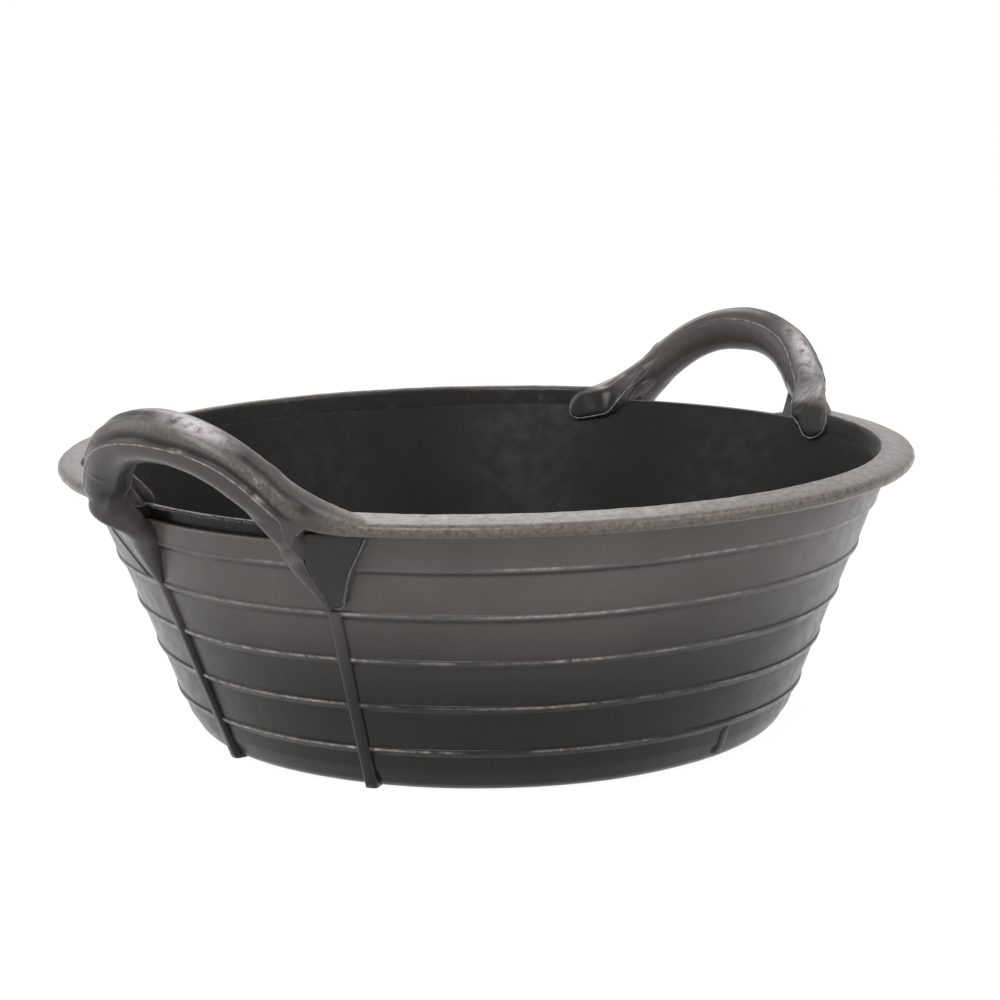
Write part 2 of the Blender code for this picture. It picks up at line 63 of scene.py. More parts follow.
# Wall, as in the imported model
WALL_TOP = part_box("wall_shell")[1][2]
WALL_THICKNESS = 0.0055
INNER_INSET = 0.0085
BASE_RADIUS = 0.1923
WALL_SLOPE = 0.398
BASE_ROUNDING = 0.0110
FIRST_BEAD = 0.0270
BEAD_PITCH = 0.0294
BEAD_COUNT = 5
BEAD_LIFT = 0.0012
BEAD_HALF_HEIGHT = 0.0021
BAND_STEP = 0.0032
FOOT_TURN_IN = 0.0240
FLOOR_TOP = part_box("floor_disc")[1][2]
FLOOR_LAP = 0.0140
FLOOR_CHAMFER = 0.0020
WALL_LEAN = math.atan(WALL_SLOPE)
CORNER_RADIUS = BASE_RADIUS - BAND_STEP - BASE_ROUNDING * math.tan((math.pi / 2 - WALL_LEAN) / 2)
FOOT_RADIUS = CORNER_RADIUS - FOOT_TURN_IN
# Radius by which angles round the tub become distances along its beads
BEAD_RADIUS = 0.25

# Bare edge of the wall below each hand opening: a hollow under the top edge, with a raised foot
BARE_HALF_ANGLE = math.radians(14.6)
HOLLOW_HEIGHT = 0.0088
HOLLOW_DEPTH = 0.0030
FLASH_RADIUS = 0.0011

# Lip
LIP_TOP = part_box("rim_lip_front")[1][2]
LIP_OVERHANG = 0.0135
LIP_DROP = 0.0028
LIP_LAP = 0.0035
LIP_START = math.radians(15.3)
STEEP_LIP_START = math.radians(20.0)
LIP_CREST_ROUNDING = 0.0036
LIP_EDGE_ROUNDING = 0.0040

# Handle arch and its feet
CROWN_OUTSET = 0.0200
CROWN_RISE = 0.0516
CROWN_PULL = 0.0385
FOOT_OUTSET = 0.0185
FOOT_RISE = 0.0020
FOOT_ANGLE = math.radians(16.35)
FOOT_PULL = 0.0400
FOOT_LEAN = math.radians(33.0)
FOOT_FLARE = math.radians(31.0)
CROWN_HALF = (0.0155, 0.0160)
FOOT_HALF = (0.0152, 0.0130)
CROWN_SQUARENESS = 2.5
FOOT_SQUARENESS = 2.15
UNDERCUT = 0.16
STRAP_TAPER = (0.79, 0.98, 0.5)
SKIN_SHRINK = 0.0004
CREEP_START = WALL_TOP - 0.0300
CREEP_RISE = 0.0300
HANDLES = {"right": (0.0, math.radians(-1.9)), "left": (math.pi, math.radians(0.95))}
PUSHED_IN = {("left", "rear"): 0.07}
ENDS = {"front": -1.0, "rear": 1.0}

# Grooves and ridge pressed into the strap's face: place and half width across it, from -1 at its
# outer edge line to 1 at its inner one, then their depth. Towards the feet the ridge drifts and spreads.
OUTER_GROOVE = (-0.81, 0.20)
INNER_GROOVE = (-0.17, 0.26)
OUTER_GROOVE_DEPTH = 0.0010
INNER_GROOVE_DEPTH = 0.0009
RIDGE_PLACE = -0.52
RIDGE_HALF = 0.19
RIDGE_DRIFT = 0.05
RIDGE_SPREAD = 0.04
RIDGE_RISE = 0.0003

# Rubbed line with a painted highlight, and a stretch of painted shade, on the strap's face, across it and
# along the arch
RUB_SHINE_ACROSS = (-0.91, 0.12)
RUB_SHINE_ALONG = ((0.22, 0.12), (0.68, 0.16))
SHADE_ACROSS = (0.10, 0.60)

# Middle and half width of the arch's underside and of its hidden side, which is painted darker as shade,
# in degrees round its section, then of the band of painted highlight across the lip's top
UNDERSIDE = (-95.0, 70.0)
HIDDEN_SIDE_SHADE = (-75, 90)
LIP_HIGHLIGHT_BAND = (0.40, 0.62)

# Painted highlight on each handle's front limb: place and half width across the grooved face, place and
# half length along the arch, and how much of it the rear limb has too
PALE_HIGHLIGHT = {"left": (-0.02, 0.60, 0.27, 0.30, 0.0), "right": (0.25, 0.80, 0.62, 0.42, 0.3)}

# Leg at each foot: height, angle, lift off the wall and half width
LEG_SINK = 0.0040
LEG_ARCH_SHARES = (0.60, 0.77, 0.94)
LEG_IN_STRAP = ((0.15, -0.42), (0.85, 0.64))
LEG_GROWTH = (0.50, 0.84, 1.0)
LEG_TOP = (WALL_TOP - 0.0180, math.radians(13.6), 0.0145, 0.0080)
LEG_CORNER = 0.75
LEG_TIP = (WALL_TOP - 0.0510, math.radians(16.2), 0.0030, 0.0020)

# Tongue: where it lies in the strap (share of the arch, sink, half width), then on the wall, where
# the front one of the right handle hangs steeper and wider than the others
TONGUE_IN_STRAP = ((0.50, 0.0030, 0.0080), (0.62, 0.0014, 0.0095), (0.72, 0.0006, 0.0108))
TONGUE_START = (math.radians(15.0), WALL_TOP + 0.0140)
TONGUE_START_INSET = 0.0031
TONGUE_TURN = (math.radians(18.3), WALL_TOP - 0.0010)
TONGUE_END = (math.radians(22.4), WALL_TOP - 0.0050)
TONGUE_HALF_WIDTH = 0.0112
STEEP_START = (math.radians(18.4), WALL_TOP + 0.0200)
STEEP_TURN = (math.radians(23.2), WALL_TOP + 0.0075)
STEEP_END = (math.radians(25.4), WALL_TOP + 0.0020)
STEEP_HALF_WIDTH = 0.0145
TONGUE_LIFT = 0.0052
TONGUE_TIP_LIFT = 0.0034
TONGUE_SINK = 0.0030

# Lump of rubber over the wall's top edge, between each leg and tongue
LUMP_ANGLE = math.radians(16.3)
LUMP_LOW = (-0.0022, WALL_TOP - 0.0060)
LUMP_SHARE = 0.80
LUMP_HALF = ((0.0052, 0.0050), (0.0105, 0.0100))

# Gusset patch beside each leg
GUSSET_TOP_ANGLE = math.radians(23.0)
GUSSET_RISE = 0.0005
GUSSET_BOTTOM_ANGLE = math.radians(18.3)
GUSSET_ABOVE_TIP = 0.0020
GUSSET_CORNER = 0.0060
GUSSET_LIFT = (0.0112, 0.0020)
GUSSET_SINK = 0.0050

# Saddle of rubber between the strap's top and the lip
SADDLE_SHARE = 0.58
SADDLE_ANGLE = math.radians(24.0)
SADDLE_OUTSET = 0.0020
SADDLE_FALL = 0.0070
SADDLE_PULL = (0.030, 0.022)
SADDLE_START_HALF = (0.0150, 0.0130)
SADDLE_END_HALF = (0.0085, 0.0040)

# Strips down the wall: angle from the handle's middle, half width, lift, top
STRIP_ANGLE = math.radians(16.5)
STRIP_HALF_WIDTH = 0.0040
STRIP_LIFT = 0.0012
STRIP_SINK = 0.0055
STRIP_FOOT = 0.0006
BASE_STRIP_ANGLE = math.radians(-97.0)
BASE_STRIP_HALF_WIDTH = 0.0045
BASE_STRIP_LIFT = -0.0015
BASE_STRIP_BELOW_BEAD = 0.0035
BASE_STRIP_FOOT = 0.0060

# Radii of the raised lines
EDGE_LINE = 0.0006
GUSSET_LINE = 0.00075

# Fineness
VOXEL = 0.00085
TURN_STEPS = 540
SECTION_POINTS = 40
LOFT_POINTS = 32
LINE_STEP = 1.2 * MM

# Camera, fitted to the photograph's view
CAMERA_PLACE = (-1.2288, -0.9562, 0.4272)
CAMERA_FORWARD = (0.7791, 0.5996, -0.1831)
CAMERA_RIGHT = (0.6078, -0.7940, -0.0139)
CAMERA_LENS = 88.04


def smooth(low, high, x):
    share = np.clip((np.asarray(x, float) - low) / (high - low), 0.0, 1.0)
    return share * share * (3 - 2 * share)


def hump(middle, half_width, x):
    """1 in the middle, 0 at the half width and beyond."""
    return smooth(1.0, 0.0, np.abs(np.asarray(x, float) - middle) / half_width)


def wall_radius(height):
    """Radius of the straight cone that touches the beads."""
    return BASE_RADIUS + WALL_SLOPE * height


def inner_radius(height):
    return wall_radius(height) - INNER_INSET


def on_wall(radius, angle, height):
    return np.array([radius * math.cos(angle), radius * math.sin(angle), height])


def off_wall(outset, angle, height):
    return on_wall(wall_radius(height) + outset, angle, height)


def arc(radius, height, rounding, start, end, steps):
    """Radii and heights of a profile's points round a corner whose middle is given."""
    angles = np.linspace(start, end, steps)
    return [(radius + rounding * math.cos(a), height + rounding * math.sin(a)) for a in angles]


def part_way(start, end, share):
    return [a + (b - a) * share for a, b in zip(start, end)]


def distance_along(path):
    steps = np.linalg.norm(np.diff(path, axis=0), axis=1)
    return np.concatenate([[0.0], np.cumsum(steps)])


def unit(vector):
    vector = np.asarray(vector, float)
    return vector / np.linalg.norm(vector, axis=-1, keepdims=True)


def spline_through(points, steps):
    """A smooth curve through rows of points, with this many steps between two rows."""
    rows = np.asarray(points, float)
    padded = np.concatenate([2 * rows[:1] - rows[1:2], rows, 2 * rows[-1:] - rows[-2:-1]])
    out = []
    for i in range(1, len(padded) - 2):
        before, start, end, after = padded[i - 1 : i + 3]
        for share in np.arange(steps) / steps:
            cubic = 2 * start + (end - before) * share
            cubic += (2 * before - 5 * start + 4 * end - after) * share**2
            cubic += (3 * start - before - 3 * end + after) * share**3
            out.append(cubic / 2)
    return np.array(out + [rows[-1]])


def eased(rings):
    """Rings with straight runs between them, whose corners alone are rounded."""
    rows = np.asarray(rings, float)
    between = [rows[:-1] * (1 - share) + rows[1:] * share for share in (0.22, 0.78)]
    between = np.stack(between, axis=1).reshape(-1, *rows.shape[1:])
    return spline_through(np.concatenate([rows[:1], between, rows[-1:]]), 3)


def bezier(start, near_start, near_end, end, steps):
    share = np.linspace(0.0, 1.0, steps)[:, None]
    rest = 1 - share
    curve = start * rest**3 + near_start * 3 * rest**2 * share
    return curve + near_end * 3 * rest * share**2 + end * share**3


def arch_at(shares):
    """Middle of the handle arch and its direction, from the crown (0) to a foot (1)."""
    crown = off_wall(CROWN_OUTSET, 0.0, WALL_TOP + CROWN_RISE)
    foot = off_wall(FOOT_OUTSET, FOOT_ANGLE, WALL_TOP + FOOT_RISE)
    cos, sin = math.cos(FOOT_FLARE), math.sin(FOOT_FLARE)
    down = np.array([-math.sin(FOOT_LEAN) * cos, sin, -math.cos(FOOT_LEAN) * cos])
    near_crown = crown + np.array([0.0, CROWN_PULL, 0.0])
    near_foot = foot - down * FOOT_PULL
    share = np.asarray(shares, float)[:, None]
    rest = 1 - share
    middle = crown * rest**3 + near_crown * 3 * rest**2 * share
    middle += near_foot * 3 * rest * share**2 + foot * share**3
    along = (near_crown - crown) * rest**2 + (near_foot - near_crown) * 2 * rest * share
    along += (foot - near_foot) * share**2
    return middle, unit(along)


def arch_frame(shares):
    """Middle, outward and away directions and half sizes of the strap's section."""
    shares = np.asarray(shares, float)
    middle, along = arch_at(shares)
    outward = unit(np.array([1.0, 0.0, 0.0]) - along * along[:, :1])
    away = np.cross(outward, along)
    half = np.array(CROWN_HALF) * (1 - shares[:, None]) + np.array(FOOT_HALF) * shares[:, None]
    return middle, outward, away, half - SKIN_SHRINK


def rounded(middle, across, up, half, steps, squareness=CROWN_SQUARENESS, undercut=0.0):
    """A ring of points on a rounded square, whose lower side may rise towards the first axis."""
    angle = 2 * math.pi * (np.arange(steps) + 0.5) / steps
    cos, sin = np.cos(angle), np.sin(angle)
    x = np.copysign(np.abs(cos) ** (2 / squareness), cos)
    y = np.copysign(np.abs(sin) ** (2 / squareness), sin)
    y = y * (1 - undercut * smooth(-0.6, 0.8, x) * (y < 0))
    return middle + np.outer(x * half[0], across) + np.outer(y * half[1], up)


def squareness(shares):
    return CROWN_SQUARENESS + (FOOT_SQUARENESS - CROWN_SQUARENESS) * smooth(0.0, 0.7, shares)


def arch_rings(shares, steps):
    rings = []
    start, end, left_over = STRAP_TAPER
    for share in np.abs(shares):
        middle, outward, away, half = (values[0] for values in arch_frame([share]))
        half = half * (1 - (1 - left_over) * smooth(start, end, share))
        undercut = UNDERCUT * (1 - share)
        rings.append(rounded(middle, outward, away, half, steps, float(squareness(share)), undercut))
    return rings


def strap_face(share):
    """The two edge lines of the strap's grooved face, as angles round its section in degrees.

    0 is outwards, 90 is away from the hand opening and 180 is towards the mouth of the tub.
    The face turns from the top of the crown to the inner side of the wall at the feet.
    """
    outer = -9 + 23 * smooth(0.05, 0.62, share)
    inner = 150 + 22 * smooth(0.40, 0.95, share)
    return outer, inner


def strap_points(shares, degrees):
    """Points on the strap's surface at angles round its section."""
    middle, outward, away, half = arch_frame(shares)
    angle = np.radians(degrees) * np.ones(len(middle))
    cos, sin = np.cos(angle), np.sin(angle)
    power = squareness(shares)
    fullness = (np.abs(cos) ** power + np.abs(sin) ** power) ** (1 / power)
    across = outward * (half[:, 0] * cos / fullness)[:, None]
    return middle + across + away * (half[:, 1] * sin / fullness)[:, None]


def leg_at(share):
    """Height, angle, lift and half width of the leg, from its top (0) to its tip (1)."""
    return part_way(LEG_TOP, LEG_TIP, share)


def leg_rings(steps):
    """From the outward lower part of the arch down to the tip on the wall."""
    rings = []
    (out, up), kept = LEG_IN_STRAP
    for middle, outward, away, half, grown in zip(*arch_frame(LEG_ARCH_SHARES), LEG_GROWTH):
        middle = middle + outward * out * half[0] + away * up * half[1]
        rings.append(rounded(middle, outward, away, half * kept * grown, steps))
    for share in (0.0, 0.33, 0.67, 1.0):
        height, angle, lift, half = leg_at(share)
        middle = off_wall((lift - LEG_SINK) / 2, angle, height)
        outward, sideways = on_wall(1, angle, 0), on_wall(1, angle + math.pi / 2, 0)
        rings.append(rounded(middle, outward, sideways, ((lift + LEG_SINK) / 2, half), steps))
    return eased(rings)


def tongue_stations(steep):
    """Middle, face direction, width direction and half sizes along the tongue."""
    place = (STEEP_START, STEEP_TURN, STEEP_END) if steep else (TONGUE_START, TONGUE_TURN, TONGUE_END)
    full_width = STEEP_HALF_WIDTH if steep else TONGUE_HALF_WIDTH
    inset = (TONGUE_LIFT - TONGUE_SINK) / 2
    start = off_wall(-TONGUE_START_INSET, *place[0])
    turn, end = (on_wall(inner_radius(height) - inset, angle, height) for angle, height in place[1:])
    run = unit(end - turn)
    stations = []
    for share, sink, half_width in TONGUE_IN_STRAP:
        _, outward, away, _ = (values[0] for values in arch_frame([share]))
        degrees = sum(strap_face(share)) / 2
        bearing = math.radians(degrees)
        facing = outward * math.cos(bearing) + away * math.sin(bearing)
        width = away * math.cos(bearing) - outward * math.sin(bearing)
        half_depth = (TONGUE_LIFT + TONGUE_SINK) / 2
        middle = strap_points([share], degrees)[0] - facing * (half_depth + sink)
        stations.append((middle, facing, width, (half_depth, half_width)))
    strap_facing, strap_width = stations[-1][1:3]
    places = [((start * 0.6 + turn * 0.4), 0.0), (turn, 0.0), ((turn + end) / 2, 0.0)]
    places += [(end + run * full_width * s, s) for s in np.sin(np.linspace(0.0, 0.99, 9) * math.pi / 2)]
    for i, (place, share) in enumerate(places):
        inward = unit(on_wall(-1, math.atan2(place[1], place[0]), 0) + np.array([0, 0, WALL_SLOPE]))
        side = unit(np.cross(inward, run))
        if i == 0:
            inward = unit(inward * 0.7 + strap_facing * 0.3)
            side = unit(side * 0.7 + strap_width * 0.3)
        lift = TONGUE_LIFT + (TONGUE_TIP_LIFT - TONGUE_LIFT) * smooth(1, len(places) - 1, i)
        half = ((lift + TONGUE_SINK) / 2, max(full_width * math.sqrt(1 - share * share), 0.0012))
        place = place - inward * (TONGUE_LIFT - lift) / 2
        stations.append((place, inward, side, half))
    return stations


def tongue_rings(steps, steep):
    rings = [rounded(*station, steps, 2.9) for station in tongue_stations(steep)]
    return spline_through(rings, 4)


def lump_rings(steps):
    """Rubber squeezed over the wall's top edge, between the leg and the tongue."""
    low = off_wall(LUMP_LOW[0], LUMP_ANGLE, LUMP_LOW[1])
    high = arch_at([LUMP_SHARE])[0][0]
    outward, sideways = on_wall(1, LUMP_ANGLE, 0), on_wall(1, LUMP_ANGLE + math.pi / 2, 0)
    rings = []
    for share in np.linspace(0.0, 1.0, 6):
        half = part_way(*LUMP_HALF, share)
        rings.append(rounded(low + (high - low) * share, outward, sideways, half, steps))
    return rings


def inner_edge_line(steep):
    """From the crown along the strap's inner edge, then round the tongue, with ways outwards."""
    shares = np.linspace(0.0, 0.60, 31)
    path = list(strap_points(shares, strap_face(shares)[1]))
    ways = list(np.array(path) - arch_at(shares)[0])
    stations = tongue_stations(steep)[len(TONGUE_IN_STRAP) + 1 :]
    for sign, row in ((1, stations), (-1, stations[:1:-1])):
        for middle, facing, width, half in row:
            path.append(middle + width * sign * half[1] * 0.92 + facing * half[0] * 0.8)
            ways.append(facing + width * sign * 0.5)
    return np.array(path), unit(ways)


def leg_corner(height):
    """Angle and lift of the line along the leg's far corner, where the gusset starts."""
    share = (LEG_TOP[0] - height) / (LEG_TOP[0] - LEG_TIP[0])
    _, angle, lift, half = leg_at(share)
    half = min(half, LEG_TOP[3])
    fullness = (1 - LEG_CORNER**CROWN_SQUARENESS) ** (1 / CROWN_SQUARENESS)
    lift = ((lift - LEG_SINK) + fullness * (lift + LEG_SINK)) / 2
    return angle + LEG_CORNER * half / wall_radius(height), lift


def outer_edge_line():
    """From the crown along the strap's outer edge and down the leg's corner to its tip."""
    shares = np.linspace(0.0, 0.86, 44)
    path = list(strap_points(shares, strap_face(shares)[0]))
    ways = list(unit(np.array(path) - arch_at(shares)[0]))
    for height in np.linspace(LEG_TOP[0], LEG_TIP[0] + 0.0015, 12):
        angle, lift = leg_corner(height)
        path.append(off_wall(lift, angle, height))
        ways.append(on_wall(1.0, angle + 0.3, 0.0))
    return np.array(path), unit(ways)


def gusset_outline(steps=16):
    """Heights and end angles down the gusset's free edge, round its corner."""
    top = WALL_TOP + GUSSET_RISE
    bottom = LEG_TIP[0] + GUSSET_ABOVE_TIP
    rows = []
    for height in np.linspace(top, bottom + GUSSET_CORNER, steps):
        share = (top - height) / (top - bottom)
        rows.append((height, GUSSET_TOP_ANGLE + (GUSSET_BOTTOM_ANGLE - GUSSET_TOP_ANGLE) * share))
    corner_angle = rows[-1][1]
    for share in np.sin(np.linspace(0.1, 1.0, 9) * math.pi / 2):
        height = bottom + GUSSET_CORNER * (1 - share)
        inset = GUSSET_CORNER * (1 - math.sqrt(max(0.0, 1 - share**2))) / wall_radius(height)
        rows.append((height, corner_angle - inset))
    return rows


def gusset_lift(height):
    share = np.clip((WALL_TOP - LIP_LAP - height) / (WALL_TOP - LIP_LAP - LEG_TIP[0]), 0.0, 1.0)
    return GUSSET_LIFT[0] + (GUSSET_LIFT[1] - GUSSET_LIFT[0]) * share


def gusset_rings():
    """The dished three-cornered web beside the leg, from the lip's edge down to the leg's tip."""
    rings = []
    across = np.linspace(0.0, 1.0, 11)
    for height, end in gusset_outline():
        radius = wall_radius(height)
        start, near_leg = leg_corner(height)
        lift = gusset_lift(height)
        lifts = near_leg + (lift - near_leg) * across - 0.0004 * np.sin(across * math.pi)
        ring = [on_wall(radius - GUSSET_SINK, start, height)]
        ring += [on_wall(radius + l, start + (end - start) * a, height) for a, l in zip(across, lifts)]
        ring += [on_wall(radius + lift * l, end + 0.0002, height) for l in (0.85, 0.55, 0.2)]
        ring.append(on_wall(radius - GUSSET_SINK, end, height))
        rings.append(ring)
    return rings


def gusset_edge_line():
    """Down the gusset's free edge and round its corner to the leg's tip."""
    path = [off_wall(gusset_lift(height), end, height) for height, end in gusset_outline()]
    angle, lift = leg_corner(path[-1][2])
    path.append(off_wall(lift, angle, path[-1][2]))
    return np.array(path)


def lip_profile():
    """Closed profile of the lip, from its inner foot over the crest and the outer edge."""
    inner = inner_radius(WALL_TOP)
    outer = wall_radius(WALL_TOP) + LIP_OVERHANG
    crest, edge = LIP_CREST_ROUNDING, LIP_EDGE_ROUNDING
    low = WALL_TOP - 0.012
    seat = WALL_TOP - 0.004
    points = [(inner_radius(low) + 0.0022, low), (inner_radius(seat) - 0.0001, seat)]
    points += arc(inner + crest, LIP_TOP - crest, crest, math.pi, math.radians(80), 7)
    low_side = LIP_TOP - LIP_DROP - edge
    points += arc(outer - edge, low_side, edge, math.radians(72), math.radians(-90), 10)
    foot = WALL_TOP - LIP_LAP
    points += [(wall_radius(foot) + 0.0020, foot), (wall_radius(foot) - 0.0020, foot - 0.0012)]
    return points


def turned_rings(profile, start, end, steps):
    angles = np.linspace(start, end, steps)
    return [[on_wall(radius, angle, height) for radius, height in profile] for angle in angles]


def saddle_rings(steps):
    """Rubber that fills the hollow where the strap's top runs on into the lip."""
    middle, along = arch_at([SADDLE_SHARE])
    start = middle[0]
    end = on_wall(wall_radius(WALL_TOP) + SADDLE_OUTSET, SADDLE_ANGLE, LIP_TOP - SADDLE_FALL)
    rim_way = on_wall(1, SADDLE_ANGLE + math.pi / 2, 0)
    near_start, near_end = start + along[0] * SADDLE_PULL[0], end - rim_way * SADDLE_PULL[1]
    path = bezier(start, near_start, near_end, end, 26)
    way = unit(np.gradient(path, axis=0))
    rings = []
    for place, forward, share in zip(path, way, np.linspace(0, 1, len(path))):
        outward = on_wall(1, math.atan2(place[1], place[0]), 0)
        outward = unit(outward - forward * (outward @ forward))
        up = np.cross(outward, forward)
        half = part_way(SADDLE_START_HALF, SADDLE_END_HALF, share)
        rings.append(rounded(place, outward, up, half, steps))
    return rings


def creep_share(heights):
    return smooth(CREEP_START, CREEP_START + CREEP_RISE, heights)


def in_place(points, side, end):
    """Points drawn for the rear foot of the right handle, brought to any foot."""
    points = np.asarray(points, float)
    turn, creep = HANDLES[side]
    angle = turn + creep * creep_share(points[..., 2])
    x, y = points[..., 0], points[..., 1] * ENDS[end] * math.cos(turn)
    y = y * (1 - PUSHED_IN.get((side, end), 0.0) * smooth(LEG_TOP[0], WALL_TOP + 0.0150, points[..., 2]))
    placed = [x * np.cos(angle) - y * np.sin(angle), x * np.sin(angle) + y * np.cos(angle)]
    return np.stack([*placed, points[..., 2]], axis=-1)


def back_in_place(points, side):
    """The other way: points on a handle, brought to the rear foot of the right one."""
    turn, creep = HANDLES[side]
    angle = -(turn + creep * creep_share(points[:, 2]))
    x, y = points[:, 0], points[:, 1]
    across = x * np.sin(angle) + y * np.cos(angle)
    return np.stack([x * np.cos(angle) - y * np.sin(angle), np.abs(across), points[:, 2]], axis=-1)


def grid(rings, loop=False):
    """Vertices and faces of a closed skin through rings with equal numbers of points."""
    rings = np.asarray(rings, float)
    rows, count = rings.shape[:2]
    faces = []
    for row in range(rows if loop else rows - 1):
        below = (row + 1) % rows
        for i in range(count):
            j = (i + 1) % count
            faces.append((row * count + i, row * count + j, below * count + j, below * count + i))
    if not loop:
        faces.append(tuple(reversed(range(count))))
        faces.append(tuple((rows - 1) * count + i for i in range(count)))
    return rings.reshape(-1, 3), faces


@contextmanager
def edited(mesh):
    """The mesh as a bmesh, which is written back at the end."""
    shape = bmesh.new()
    shape.from_mesh(mesh)
    yield shape
    shape.to_mesh(mesh)
    shape.free()


def in_scene(name, data):
    made = bpy.data.objects.new(name, data)
    bpy.context.scene.collection.objects.link(made)
    return made


def mesh_object(name, shapes):
    """One mesh object from several vertices-and-faces pairs, with its normals outwards."""
    points, faces, first = [], [], 0
    for verts, polygons in shapes:
        points.append(verts)
        faces += [tuple(first + i for i in face) for face in polygons]
        first += len(verts)
    mesh = bpy.data.meshes.new(name)
    mesh.from_pydata(np.concatenate(points).tolist(), [], faces)
    with edited(mesh) as shape:
        bmesh.ops.recalc_face_normals(shape, faces=shape.faces)
    return in_scene(name, mesh)


def coordinates(mesh):
    flat = np.empty(len(mesh.vertices) * 3)
    mesh.vertices.foreach_get("co", flat)
    return flat.reshape(-1, 3)


def normals(mesh):
    flat = np.empty(len(mesh.vertices) * 3)
    mesh.vertex_normals.foreach_get("vector", flat)
    return flat.reshape(-1, 3)


def set_coordinates(mesh, points):
    mesh.vertices.foreach_set("co", np.ascontiguousarray(points).ravel())
    mesh.update()


def neighbours(mesh):
    pairs = np.empty(len(mesh.edges) * 2, dtype=np.int64)
    mesh.edges.foreach_get("vertices", pairs)
    pairs = pairs.reshape(-1, 2)
    count = np.bincount(pairs.ravel(), minlength=len(mesh.vertices)).astype(float)
    return pairs, np.maximum(count, 1.0)


def averaged(values, pairs, count):
    """The mean of each vertex's neighbours."""
    flat = values.reshape(len(values), -1)
    total = np.empty_like(flat)
    for i in range(flat.shape[1]):
        total[:, i] = np.bincount(pairs[:, 0], weights=flat[pairs[:, 1], i], minlength=len(flat))
        total[:, i] += np.bincount(pairs[:, 1], weights=flat[pairs[:, 0], i], minlength=len(flat))
    return (total / count[:, None]).reshape(values.shape)


def relaxed(values, pairs, count, times, strength=0.5):
    for _ in range(times):
        values = values + (averaged(values, pairs, count) - values) * strength
    return values


def waves(points, sizes, seed):
    """Soft, seeded unevenness from -1 to 1: a sum of bent plane waves of these lengths."""
    draw = np.random.default_rng(seed)
    total = np.zeros(len(points))
    for size in sizes:
        direction, bend = unit(draw.normal(size=(2, 3)))
        phase = draw.uniform(0, 2 * math.pi, 2)
        twist = np.sin(points @ bend * (2 * math.pi / size / 1.7) + phase[0])
        total += np.sin(points @ direction * (2 * math.pi / size) + phase[1] + 1.3 * twist)
    return total / len(sizes)


# What the materials read at each vertex, from 0 to 1
NOTES = (
    "edge", "crease", "height", "dark", "line", "ridge", "groove", "rub", "pale", "under",
    "lip_face", "lip_edge",
)


def note(mesh, **values):
    """Writes the notes for the materials, 0 where none is given, and each vertex's rest place.

    The materials' patterns use the rest place, so that they stay on the rubber in every pose.
    """
    for name in NOTES:
        layer = mesh.attributes.get(name) or mesh.attributes.new(name, "FLOAT", "POINT")
        numbers = np.zeros(len(mesh.vertices)) + values.get(name, 0.0)
        layer.data.foreach_set("value", np.clip(numbers, 0.0, 1.0).astype(np.float32))
    layer = mesh.attributes.new("rest_place", "FLOAT_VECTOR", "POINT")
    layer.data.foreach_set("vector", coordinates(mesh).astype(np.float32).ravel())


def joined(made, extras):
    """Adds clean pieces to an object's mesh, as loose closed parts with their own notes."""
    chosen = [made, *extras]
    with bpy.context.temp_override(active_object=made, selected_editable_objects=chosen):
        bpy.ops.object.join()
    return made


def line_object(name, path, radius, lineness):
    """A thin raised line along a path, pointed at its ends."""
    path = np.asarray(path, float)
    along = unit(np.gradient(path, axis=0))
    side = unit(np.cross(along, [0.31, 0.17, 0.93]))
    up = np.cross(along, side)
    gone = distance_along(path)
    from_end = np.minimum(gone, gone[-1] - gone)
    radii = radius * (0.15 + 0.85 * smooth(0.0, 0.006, from_end))
    rings = [rounded(place, s, u, (r, r), 8, 2.0) for place, s, u, r in zip(path, side, up, radii)]
    made = mesh_object(name, [grid(rings)])
    note(made.data, line=np.repeat(lineness * np.ones(len(path)), 8), height=1.0)
    return made


def laid_on(skin, path, ways, sink):
    """A path laid on a skin as a smooth line, looking at the skin against the ways outwards."""
    gone = distance_along(path)
    even = np.linspace(0.0, gone[-1], int(gone[-1] / LINE_STEP))
    fine = np.stack([np.interp(even, gone, column) for column in path.T], axis=-1)
    ways = unit(np.stack([np.interp(even, gone, column) for column in ways.T], axis=-1))
    for _ in range(2):
        for i, (point, way) in enumerate(zip(fine, ways)):
            found, place, _, _ = skin.ray_cast(Vector(point + way * 0.012), Vector(-way), distance=0.03)
            if found:
                fine[i] = np.array(place) - way * sink
        for _ in range(6):
            fine[1:-1] += (fine[:-2] / 2 + fine[2:] / 2 - fine[1:-1]) * 0.5
    return fine


